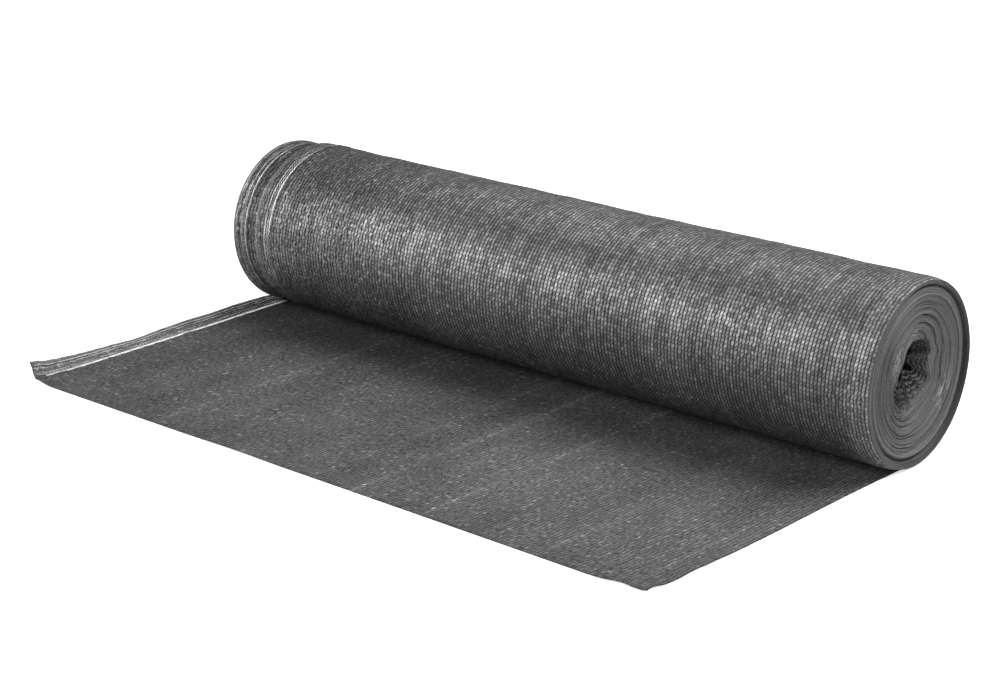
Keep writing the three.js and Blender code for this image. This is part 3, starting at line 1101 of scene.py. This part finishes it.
    def layer_shape(self, out: Array, angle: Array, seed: int) -> tuple[Array, Array]:
        """The relief of the turns' edges on an end, and their tone, with painted shade in the grooves between
        the turns.

        Turn k at an angle lies at the place k plus the angle's share of a round, so the turns are one
        spiral. Each stands out by a cosine across its thickness, and by a random amount that wanders along
        the cloth.

        Args:
            out: share of the way out.
            angle: degrees round the roll.
            seed: of the wandering.

        Returns:
            How far the edges stand out, and how light they are.
        """
        spot = self.layers * out - angle / 360.0
        turn = np.floor(spot)
        across = spot - turn
        here = turn + angle / 360.0
        stand, after = (Wander(seed, (997, 1)).at(turns * 7.0 / 997.0) for turns in (here, here + 1.0))
        wander = stand + (after - stand) * smooth((across - 0.5) * 1.6 + 0.5)
        ridge = ripple(across)
        relief = self.layer_relief * ridge * (1.0 + 0.7 * stand) + self.layer_wander * wander
        # painted shade: each turn's edge lighter on its ridge and darker in the groove beside it
        return relief, 0.66 + 0.36 * ridge + 0.3 * wander

    def end_grid(self, hole: Hole, rings: int, count: int) -> EndGrid:
        """The grid of an end, from the surface in to the hole.

        Args:
            hole: the end's hole.
            rings: the number of rings.
            count: the points in each.

        Returns:
            The grid.
        """
        out, angle = np.meshgrid(np.linspace(1.0, 0.0, rings), spokes(count), indexing="ij")
        lobes = self.lobes(angle)
        share = (hole.mean + (self.form.radius - hole.mean) * out) / self.form.radius
        crumple = smooth((0.62 - out) / 0.5) * smooth((lobes - 0.25) / 0.5)
        waves = Wander(31, (37, 1)).at(angle / 360.0) + 0.5 * Wander(32, (83, 1)).at(angle / 360.0)
        at_rim = smooth((out - 0.8) / 0.1) * smooth((1.0 - out) / 0.05)
        narrow = self.rim_warp * at_rim * bump(around(angle, 80.0) / 62.0)
        return EndGrid(out, angle, share, lobes, crumple, waves, narrow)

    def ring_tones(self, grid: EndGrid) -> Array:
        """The tone of an end's rings: uneven, with painted highlight lines and a painted shadow line at the
        rim's left, painted shade over the rim, and painted shade towards the top.

        Args:
            grid: the end's points.

        Returns:
            How light each point is.
        """
        share, angle = grid.share, grid.angle
        rings = Wander(52, (90, 5)).at(grid.out, angle / 360.0)
        tone = (1.0 + 0.22 * rings) * (1.0 + 0.2 * bump((share - 0.84) / 0.03) * (1.0 + rings))
        # painted highlights and a painted shadow line, on the rim's left side only
        lines = sum(strength * bump((share - place) / width) for _, place, width, strength in self.painted_rim_lines)
        tone = tone * (1.0 + bump(around(angle, 205.0) / 60.0) * lines)
        # painted shade over the outer rim
        rim = smooth((share - grid.narrow - 0.872) / 0.02) * (1.0 - 0.75 * bump((share - 0.99) / 0.008))
        tone = tone * (1.0 - rim * (1.0 - self.painted_rim_shade.at(angle)))
        groove = 1.0 + 0.5 * bump((share - 0.866) / 0.007)
        # painted shade: the end darker towards its top and lighter towards its bottom, more further out
        return tone * groove * (1.0 - 0.12 * grid.out * np.sin(np.radians(angle)))

    def arc_rows(self) -> list[tuple[float, float, float, float]]:
        """The arcs of painted shade between turns: the named ones, and as many fainter ones as arcs says, by
        chance.
        """
        chance = np.random.default_rng(57)
        faint = chance.uniform((0.36, -180.0, 12.0, 0.0004), (0.84, 180.0, 44.0, 0.0016), (self.arcs, 4))
        return [row[1:] for row in self.gaps] + [tuple(row) for row in faint]

    def near_arcs(self, grid: EndGrid) -> tuple[Array, Array]:
        """The near end's arcs of painted shade, each sunk between two turns.

        Args:
            grid: the end's points.

        Returns:
            How far each point stands out for them, and how light it is.
        """
        stand, tone = 0.0, 1.0
        for place, middle, span, deep in self.arc_rows():
            waver = 0.006 * Wander(51, (29, 1)).at(grid.angle / 360.0 + place) * (1.0 + 3.0 * grid.crumple)
            line = bump((grid.share - place - waver) / 0.0042)
            line = line * smooth(1.4 - np.abs(around(grid.angle, middle)) / span)
            # painted shade along each arc
            stand, tone = stand - deep * line, tone * (1.0 - 0.55 * line)
        return stand, tone

    def near_lobe(self, grid: EndGrid) -> tuple[Array, Array]:
        """The crumpled turns beside the near mouth, in ribs with painted shade, but for painted light on their
        feet low down.

        Args:
            grid: the end's points.

        Returns:
            How far each point stands out for them, and how light it is.
        """
        ribs = ripple(grid.out * self.ribs + 0.6 * grid.waves)
        low = smooth(1.6 - np.abs(around(grid.angle, -48.0)) / 40.0)
        reach = 0.32 - 0.2 * smooth(1.5 - np.abs(around(grid.angle, 68.0)) / 26.0)
        lobe = smooth((reach - grid.out) / (0.44 * reach)) * smooth((grid.lobes - 0.12) / 0.4)
        # painted shade over the crumpled turns, with painted light on the ribs' feet low down
        lit = (0.02 + 0.25 * grid.out) + (0.05 + 0.72 * low) * (1.0 - ribs) ** 3.0
        return -self.rib_depth * lobe * ribs, 1.0 - lobe * (1.0 - lit)

    def near_frays(self, grid: EndGrid) -> tuple[Array, Array]:
        """The frayed yarn ends round the near mouth, in random specks.

        Args:
            grid: the end's points.

        Returns:
            How far each point stands out for them, and how light it is.
        """
        specks = Wander(61, (64, 80)).at(grid.out, grid.angle / 360.0)
        light = 0.6 + 3.4 * np.maximum(specks, -0.2)
        stand, tone = 0.0, 1.0
        for _, place, middle, reach, spread in self.frays:
            fray = bump((grid.out - place) / reach, around(grid.angle, middle) / spread)
            stand, tone = stand + self.fray_height * fray * specks, tone * (1.0 + fray * light)
        return stand, tone

    def end(self, name: str, near: bool, rings: int, count: int, material: Material) -> Object:
        """One end of the roll: the edges of all its turns, from the surface to the hole.

        Args:
            name: the piece's name.
            near: whether it is the near end.
            rings: the number of rings.
            count: the number of points in each ring.
            material: its finish.

        Returns:
            The piece.
        """
        form, face, hole = self.form, self.far_face, FAR_HOLE
        if near:
            face, hole = self.near_face, NEAR_HOLE
        grid = self.end_grid(hole, rings, count)
        out, angle, crumpled = grid.out, grid.angle, grid.crumple * grid.waves
        stand, tone = self.layer_shape(out - 0.012 * crumpled, angle, 41 if near else 43)
        stand = stand - face.at(out - grid.narrow) - face.at(out, 1) * grid.lobes * (0.45 if near else 1.0)
        tone = tone * self.ring_tones(grid)
        if near:
            for raised, light in (self.near_arcs(grid), self.near_lobe(grid), self.near_frays(grid)):
                stand, tone = stand + raised, tone * light
        tuck = np.where(out >= 1.0, self.rim_tuck, 0.0)
        inset = self.crumple_depth * crumpled * smooth(out / 0.12) + 0.4 * tuck
        points = form.point(form.length - tuck if near else tuck, angle, out, hole, inset)
        points[..., 0] += stand * (1.0 if near else -1.0)
        radii = np.linspace(form.radius, hole.mean, rings)
        patch = self.wound(points, radii, form.radius, np.clip(tone, 0.1, 3.0), not near)
        return patch.make(name, material)

    def hole_wall(self, material: Material) -> Object:
        """The wall of the hole, with the long soft folds of the innermost turn: random ridges, and painted
        shade that is darkest deep inside.

        Args:
            material: the turns' edges.

        Returns:
            The piece.
        """
        start = float(self.far_face.at(0.0) + 0.5 * self.far_face.at(0.0, 1))
        end = self.form.length - float(self.near_face.at(0.0))
        along = np.concatenate([
            np.linspace(start, 0.12, 16)[:-1], np.linspace(0.12, 0.86, 40)[:-1], np.linspace(0.86, end, 36),
        ])
        angle = spokes(180)
        a, t = np.meshgrid(along, angle, indexing="ij")
        fade = smooth((self.form.length - 0.004 - a) / 0.03) * smooth(a / 0.03)
        folds = Wander(71, (9, 31)).at(a, t / 360.0) + 0.5 * Wander(72, (31, 60)).at(a, t / 360.0)
        points = self.form.hole_wall(a, t, self.fold_depth * folds * fade)
        mouth = self.form.length / 2 - self.near_face.at(0.0) - self.near_face.at(0.0, 1) * self.lobes(angle)
        mouth = mouth + self.form.lean(np.array(self.form.length), angle)
        points[-1, :, 0] = mouth
        points[..., 0] = np.minimum(points[..., 0], mouth)
        # painted shade: the hole's wall dark, lighter only at its near mouth
        tone = 0.08 + 0.14 * smooth((a - 0.98) / 0.02)
        return self.wound(points, along, NEAR_HOLE.mean, tone, True).make("hole_wall", material)

    def selvedges(self) -> list[SelvedgeYarns]:
        """The yarns of both selvedges that show at the far end, wound right round."""
        girth = 2.0 * math.pi * self.form.radius

        def on(start: float) -> Callable[[Array, Array], Array]:
            """The surface by across from a selvedge's edge and along the cloth."""
            return lambda across, along: self.surface_point(start + across, along / girth * 360.0)

        return [
            # painted highlight on the yarns round the roll's front, where its sheen falls
            SelvedgeYarns("inner_selvedge", on(0.0012), 0.0, girth, True, 100, INNER_SELVEDGE,
                          painted_light_at=girth * 0.43, painted_light_reach=girth * 0.13, painted_light_gain=1.5, light=0.28),
            SelvedgeYarns("outer_selvedge", on(self.edge_start), 0.0, girth, True, 200, OUTER_SELVEDGE,
                          painted_light_at=girth * 0.43, painted_light_reach=girth * 0.11, painted_light_gain=1.9, light=0.25),
        ]

    def build(self, finishes: dict[str, Material], yarns: dict[Pale, Material]) -> list[Object]:
        """All the roll's pieces, of which the first stands for the solid roll.

        Args:
            finishes: the materials of the wound netting and of the turns' edges.
            yarns: the materials of the selvedge's yarns.

        Returns:
            The pieces.
        """
        pieces = [
            self.outer_turn(finishes["wound"]),
            self.inner_turns(finishes["wound"]),
            self.end("near_end", True, 400, 246, finishes["edges"]),
            self.end("far_end", False, 300, 200, finishes["edges"]),
            self.hole_wall(finishes["edges"]),
        ]
        for selvedge in self.selvedges():
            pieces += selvedge.make(yarns)
        return pieces


# The loose end

@dataclass
class LooseEnd:
    """The free end of the cloth, flat on the floor, with its selvedge curled up."""

    roll: RollForm = field(default_factory=RollForm)
    length: float = 0.449
    toe: float = 0.0175
    thickness: float = 0.0013
    seat_gap: float = 0.0003
    plain_inset: float = 0.010
    lift_reach: float = 0.030
    front_reach: float = 0.012
    curl_width: float = 0.0215
    curl_columns: int = 14
    row_step: float = 0.005
    wale_relief: float = 0.00012
    ripple_floor: float = 0.0001
    least_room: float = 0.0001
    streak_width: float = 0.0034
    # painted shade: the underside 0.8 as light as the upper side
    underside_painted_shade: float = 0.8
    fray_radius: float = 0.00028
    fray_tuck: float = 0.0012
    fray_floor: float = 0.0003
    sections: Profile = Profile((
        ("toe", 0.0175, -0.488, 0.014, 0.0, 0.0, 0.0),
        ("under the roll", 0.022, -0.488, 0.014, 0.0, 0.0, 0.0),
        ("seat", 0.027, -0.488, 0.015, 0.0022, 0.0, 0.0),
        ("out of the roll", 0.042, -0.488, 0.0175, 0.0085, 0.0, 0.0),
        ("first curl", 0.057, -0.4885, 0.0185, 0.009, 0.0, -0.0005),
        ("even curl", 0.105, -0.4875, 0.019, 0.010, 0.0, -0.0005),
        ("slack curl", 0.150, -0.487, 0.019, 0.009, 0.0, 0.0002),
        ("full curl", 0.190, -0.4865, 0.0195, 0.0096, 0.0, 0.001),
        ("easing curl", 0.235, -0.486, 0.019, 0.0086, 0.0, 0.002),
        ("low curl", 0.277, -0.486, 0.019, 0.0064, 0.0, 0.0023),
        ("plain bulge", 0.318, -0.4865, 0.0185, 0.0084, 0.0, 0.0027),
        ("rising curl", 0.354, -0.486, 0.017, 0.0104, 0.0002, 0.002),
        ("plain nick", 0.376, -0.486, 0.0155, 0.012, 0.0004, 0.0003),
        ("before the corner", 0.398, -0.486, 0.0138, 0.014, 0.0008, 0.0008),
        ("corner rises", 0.420, -0.4855, 0.013, 0.0155, 0.0018, 0.0),
        ("corner", 0.436, -0.485, 0.0165, 0.017, 0.0029, -0.004),
        ("front edge", 0.449, -0.484, 0.0178, 0.0172, 0.0036, -0.0046),
    ))
    front_edge: Profile = Profile((
        ("selvedge tip", -0.498, 0.0045), ("selvedge", -0.492, 0.002), ("strands", -0.485, 0.0),
        ("even cut", 0.060, 0.0006), ("long cut", 0.431, -0.0006), ("nick", 0.459, 0.0042),
        ("short cut", 0.480, 0.0038), ("corner", 0.486, 0.0065),
    ))
    ripples: tuple[tuple, ...] = (
        ("front wave", 0.446, 0.449, 0.020, 0.016, 0.0015),
        ("plain corner", 0.488, 0.434, 0.014, 0.014, 0.0018),
        ("plain edge wave", 0.492, 0.350, 0.012, 0.040, 0.0014),
        ("front ripple", -0.120, 0.449, 0.060, 0.018, 0.0012),
    )
    streaks: tuple[tuple, ...] = (
        (-0.445, 0.10), (-0.260, 0.30), (-0.163, 0.22), (-0.05, 0.12), (0.010, 0.18), (0.074, 0.42),
        (0.110, 0.15), (0.180, 0.40), (0.265, 0.12), (0.345, 0.16), (0.464, 0.30),
    )

    def place(self, across: Array, along: Array) -> tuple[Array, Array]:
        """The underside's section: a quadratic curve over the curled selvedge, then a straight line.

        Args:
            across: distance from the selvedge.
            along: distance from under the roll's axis.

        Returns:
            Its x and its z.
        """
        fold, run, rise, lift, plain = (self.sections.at(along, column) for column in range(5))
        t = np.clip(across / self.curl_width, 0.0, 1.0)
        first, second, third = (1 - t) ** 2, 2 * t * (1 - t), t * t
        curl_x = first * (fold - run) + second * (fold - 0.45 * run) + third * fold
        curl_z = first * (lift + rise) + second * (lift + 0.1 * rise) + third * lift
        plain_edge = self.roll.length / 2 - self.plain_inset + plain
        body = (across - self.curl_width) / (self.roll.length - self.curl_width)
        x = np.where(body > 0, fold + (plain_edge - fold) * body, curl_x)
        lifted = lift * (1 - smooth((x - fold) / self.lift_reach))
        rises = sum(rise * bump((x - cx) / reach, (along - cy) / spread)
                    for _, cx, cy, reach, spread, rise in self.ripples)
        flat_z = lifted + np.maximum(0.0, rises - self.ripple_floor)
        return x, np.where(body > 0, flat_z, curl_z)

    def under(self, across: Array, along: Array) -> Array:
        """A point of the cloth's underside, with the cut front edge's unevenness at its end.

        Args:
            across: distance from the selvedge.
            along: distance from under the roll's axis.

        Returns:
            The points, with a last axis of 3.
        """
        across, along = np.broadcast_arrays(across, along)
        x, z = self.place(across, along)
        cut = self.front_edge.at(x) * smooth((along - self.length + self.front_reach) / self.front_reach)
        return np.stack([x, cut - along, z], -1)

    def upper(self, across: Array, along: Array, relief: Array | float = 0.0) -> Array:
        """A point of the upper side: the underside moved off by the thickness, less under the roll.

        Args:
            across: distance from the selvedge.
            along: distance from under the roll's axis.
            relief: how far the point stands out besides.

        Returns:
            The points, with a last axis of 3.
        """
        small = 0.0005
        here = self.under(across, along)
        ahead = self.under(across, along + small) - here
        up = unit(np.cross(ahead, self.under(across + small, along) - here))
        chord = np.minimum(along, self.roll.radius)
        height = self.roll.axis_height - np.sqrt(self.roll.radius ** 2 - chord ** 2)
        room = np.minimum(self.thickness, np.maximum(height - self.seat_gap, self.least_room))
        return here + up * (room * (1.0 + relief / self.thickness))[..., None]

    def tones(self, across: Array, along: Array, x: Array) -> Array:
        """How light the sheet is: bands, a pale curl, a dark line inside it, streaks, and painted shade by the
        roll.

        Args:
            across: distance from the selvedge.
            along: distance from under the roll's axis.
            x: the points' x.

        Returns:
            1 for as the finish is, at each point.
        """
        down = along / self.length
        tone = 1.0 + 0.08 * Wander(82, (170, 2)).at(across, along)
        tone = tone + 0.14 * Wander(83, (17, 9)).at(across, down)
        tone = tone + 0.25 * smooth((0.017 - across) / 0.002) * smooth((self.length - 0.006 - along) / 0.02)
        tone = tone - 0.4 * bump((across - 0.0186) / 0.0008)
        # painted shade: darker near the roll, most on the left
        tone = tone * (1.0 - 0.3 * smooth((0.17 - along) / 0.09) * smooth((0.25 - x) / 0.4))
        for place, strength in self.streaks:
            broken = 0.65 + 0.6 * Wander(84, (9, 1)).at(down + place)
            tone = tone + 1.5 * strength * broken * bump((x - place) / self.streak_width)
        return tone

    def closed(self, upper: Array, lower: Array, cloth: Array, tone: Array) -> Patch:
        """One closed patch from the two sides of a sheet, with walls round its four edges.

        Args:
            upper: the upper side's grid of points.
            lower: the underside's.
            cloth: their cloth coordinates.
            tone: how light the upper side is.

        Returns:
            The patch.
        """
        rows, width = upper.shape[:2]
        ring = np.concatenate([
            np.arange(width), np.arange(1, rows) * width + width - 1,
            (rows - 1) * width + np.arange(width - 2, -1, -1), np.arange(rows - 2, 0, -1) * width,
        ])
        after, count = np.roll(ring, -1), rows * width
        walls = np.stack([ring, ring + count, after + count, after], -1)
        sides = cloth.reshape(-1, 2)[np.stack([ring, ring, after, after], 1)]
        # the underside with painted shade
        under = Patch.grid(lower, cloth, flip=True, tone=self.underside_painted_shade)
        return Patch.join([Patch.grid(upper, cloth, tone=tone), under]).more(walls, sides)

    def sheet(self, material: Material) -> Object:
        """The cloth, closed round its four edges, with every wale raised on its upper side.

        Args:
            material: the loose netting.

        Returns:
            The piece.
        """
        columns = round((self.roll.length - self.curl_width) / (KNIT_PITCH / 2))
        across = np.concatenate([
            np.linspace(0.0, self.curl_width, self.curl_columns, endpoint=False),
            np.linspace(self.curl_width, self.roll.length, columns),
        ])
        along = np.linspace(self.toe, self.length, round((self.length - self.toe) / self.row_step))
        a, c = np.meshgrid(along, across, indexing="ij")
        lumps = 0.5 * Wander(81, (90, 70)).at(c, a / self.length)
        upper = self.upper(c, a, self.wale_relief * (ripple(c / KNIT_PITCH) - 0.5 + lumps))
        tone = self.tones(c, a, upper[..., 0])
        return self.closed(upper, self.under(c, a), np.stack([c, a], -1), tone).make("loose_sheet", material)

    def selvedge(self) -> SelvedgeYarns:
        """The yarns along the curled selvedge, from where the cloth comes out of the roll to its cut end."""
        # painted light on the yarns near the roll, where its shadow falls
        return SelvedgeYarns("sheet_selvedge", self.upper, 0.030, self.length - 0.001, False, 300,
                             LAID_SELVEDGE, white_end=self.length - 0.016, light=1.3, painted_light_at=0.04,
                             painted_light_reach=0.12, painted_light_gain=1.4)

    def frayed_ends(self, material: Material) -> Object:
        """Short yarn ends along the cut front edge at most wales, each with its own direction.

        Args:
            material: a yarn's.

        Returns:
            The piece.
        """
        chance = np.random.default_rng(91)
        share = np.linspace(0.0, 1.0, 4)[:, None]
        upwards = np.tile([0.0, 0.0, 1.0], (len(share), 1))
        radius = self.fray_radius * (1.1 - 0.6 * share[:, 0])
        tubes = []
        for across in np.arange(0.03, self.roll.length - 0.004, KNIT_PITCH):
            reach, turn, rise, skip = chance.uniform((0.0006, -0.7, -0.1, 0.0), (0.0032, 0.7, 0.5, 1.0))
            if skip < 0.25:
                continue
            root = self.upper(np.array(across), np.array(self.length)) + (0.0, self.fray_tuck, -0.0005)
            path = root + share * np.array([reach * math.sin(turn), -self.fray_tuck - reach, 0.0])
            path = path + share ** 2 * np.array([0.0, 0.0, rise * reach])
            path[:, 2] = np.maximum(path[:, 2], self.fray_floor)
            tubes.append(tube(path, upwards, radius, 4))
        return Patch.join(tubes).make("frayed_ends", material)

    def build(self, material: Material, yarns: dict[Pale, Material]) -> list[Object]:
        """The sheet, then what is on it."""
        return [self.sheet(material), *self.selvedge().make(yarns), self.frayed_ends(yarns[Pale.GREY])]


# The studio

@dataclass(frozen=True)
class Lamp:
    """A soft rectangular light: where it stands from the middle of the roll, its size and its power."""

    name: str
    offset: tuple[float, float, float]
    size: tuple[float, float]
    power: float


@dataclass
class Studio:
    """The pale floor, the soft lights and the camera."""

    target: tuple[float, float, float] = (0.08265, -0.21855, 0.1075)
    distance: float = 2.8321
    azimuth: float = 43.446
    elevation: float = 18.612
    roll: float = -1.279
    lens: float = 90.26
    sensor: float = 36.0
    view_end: float = 40.0
    sky: float = 0.12
    sky_seen: float = 1.05
    floor_size: float = 16.0
    floor_depth: float = 0.0004
    lit: tuple[float, float, float] = (0.0, -0.1, 0.1)
    lamps: tuple[Lamp, ...] = (
        Lamp("key_light", (-4.1, -4.7, 2.95), (3.8, 4.4), 455.0),
        Lamp("fill_light", (2.6, -1.0, 1.2), (1.8, 1.4), 20.0),
        Lamp("top_light", (1.25, 0.95, 1.55), (1.6, 1.1), 78.0),
        Lamp("high_light", (-0.62, 0.52, 1.25), (1.0, 0.7), 7.5),
    )

    def camera(self) -> Object:
        """The camera on the photo's line of sight: back from the target, with the photo's slight roll."""
        angles = (self.azimuth, self.elevation, self.roll)
        azimuth, elevation, roll = (math.radians(angle) for angle in angles)
        level = Vector((math.sin(azimuth), -math.cos(azimuth), 0.0))
        back = level * math.cos(elevation) + Vector((0.0, 0.0, math.sin(elevation)))
        right = (-back).cross(Vector((0, 0, 1))).normalized()
        over = back.cross(right)
        turned = right * math.cos(roll) + over * math.sin(roll)
        upright = over * math.cos(roll) - right * math.sin(roll)
        data = bpy.data.cameras.new("photo_camera")
        data.lens, data.sensor_width, data.clip_end = self.lens, self.sensor, self.view_end
        camera = bpy.data.objects.new("photo_camera", data)
        camera.matrix_world = Matrix((turned, upright, back)).transposed().to_4x4()
        camera.matrix_world.translation = Vector(self.target) + back * self.distance
        bpy.context.scene.collection.objects.link(camera)
        return camera

    def light(self, lamp: Lamp) -> None:
        """An area light that faces the roll."""
        data = bpy.data.lights.new(lamp.name, "AREA")
        data.shape, data.size, data.size_y = "RECTANGLE", *lamp.size
        data.energy = lamp.power
        made = bpy.data.objects.new(lamp.name, data)
        made.location = Vector(self.lit) + Vector(lamp.offset)
        made.rotation_euler = Vector(lamp.offset).to_track_quat("Z", "Y").to_euler()
        bpy.context.scene.collection.objects.link(made)

    def floor(self) -> Object:
        """A wide flat floor just under the object, in a few rows and columns."""
        span = np.linspace(-self.floor_size / 2, self.floor_size / 2, 9)
        x, y = np.meshgrid(span, span, indexing="ij")
        points = np.stack([x, y, np.full_like(x, -self.floor_depth)], -1)
        return Patch.grid(points, points[..., :2]).make("studio_floor", Floor("pale_floor").material())

    def build(self) -> None:
        """The floor, the world's even light, the lamps and the camera."""
        self.floor()
        world = bpy.data.worlds.new("studio")
        world.use_nodes = True
        tree, back = Tree(world.node_tree), world.node_tree.nodes["Background"]
        back.inputs[0].default_value = (1.0, 1.0, 1.0, 1.0)
        seen = tree.node("LightPath").outputs["Is Camera Ray"]
        tree.feed(back.inputs[1], tree.ramp(seen, 0.0, 1.0, self.sky, self.sky_seen))
        bpy.context.scene.world = world
        for lamp in self.lamps:
            self.light(lamp)
        bpy.context.scene.camera = self.camera()
        bpy.context.scene.view_settings.view_transform = "Standard"


def report(piece: Object) -> None:
    """Logs a piece's name and its number of triangles."""
    LOG.info("%s: %d triangles", piece.name, sum(len(face.vertices) - 2 for face in piece.data.polygons))


def corners(box: Sequence[Vector]) -> list[list[float]]:
    """A box's two corners as plain lists of numbers."""
    return [[float(value) for value in corner] for corner in box]


def main() -> None:
    """Builds the studio, the roll and its loose end, attaches every piece to the root body and hides the
    imported parts that they replace.
    """
    logging.basicConfig(level=logging.INFO, format="%(name)s: %(message)s")
    Studio().build()
    yarns = {
        Pale.WHITE: Yarn("white_yarn", roughness=0.45, relief=0.0003, shade=0.6).material(),
        Pale.DULL: Yarn("dull_yarn", roughness=0.45, relief=0.0003, shade=0.5).material(),
        Pale.GREY: Yarn("grey_yarn", roughness=0.45, relief=0.0004, shade=0.16).material(),
    }
    finishes = {
        "wound": Netting("wound_netting", roughness=0.55, relief=0.0009).material(),
        "edges": TurnEdges("turn_edges", roughness=0.55, relief=0.0004).material(),
    }
    roll = WoundRoll()
    for number, piece in enumerate(roll.build(finishes, yarns)):
        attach(piece, "root")
        if number == 0:
            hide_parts("wound_roll")
        report(piece)
    loose = LooseEnd(roll.form)
    laid = Netting("loose_netting", roughness=0.55, relief=0.0004, drift=0.011, stitch=0.03, speck=0.1,
                   gap=0.048, tape=0.056, sheen=0.3, grain=3.4, patches=0.9, drawn_out=0.36)
    sheet, *on_sheet = loose.build(laid.material(), yarns)
    for piece in (sheet, *on_sheet):
        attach(piece, "root")
        report(piece)
    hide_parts("loose_end")


if __name__ == "__main__":
    main()
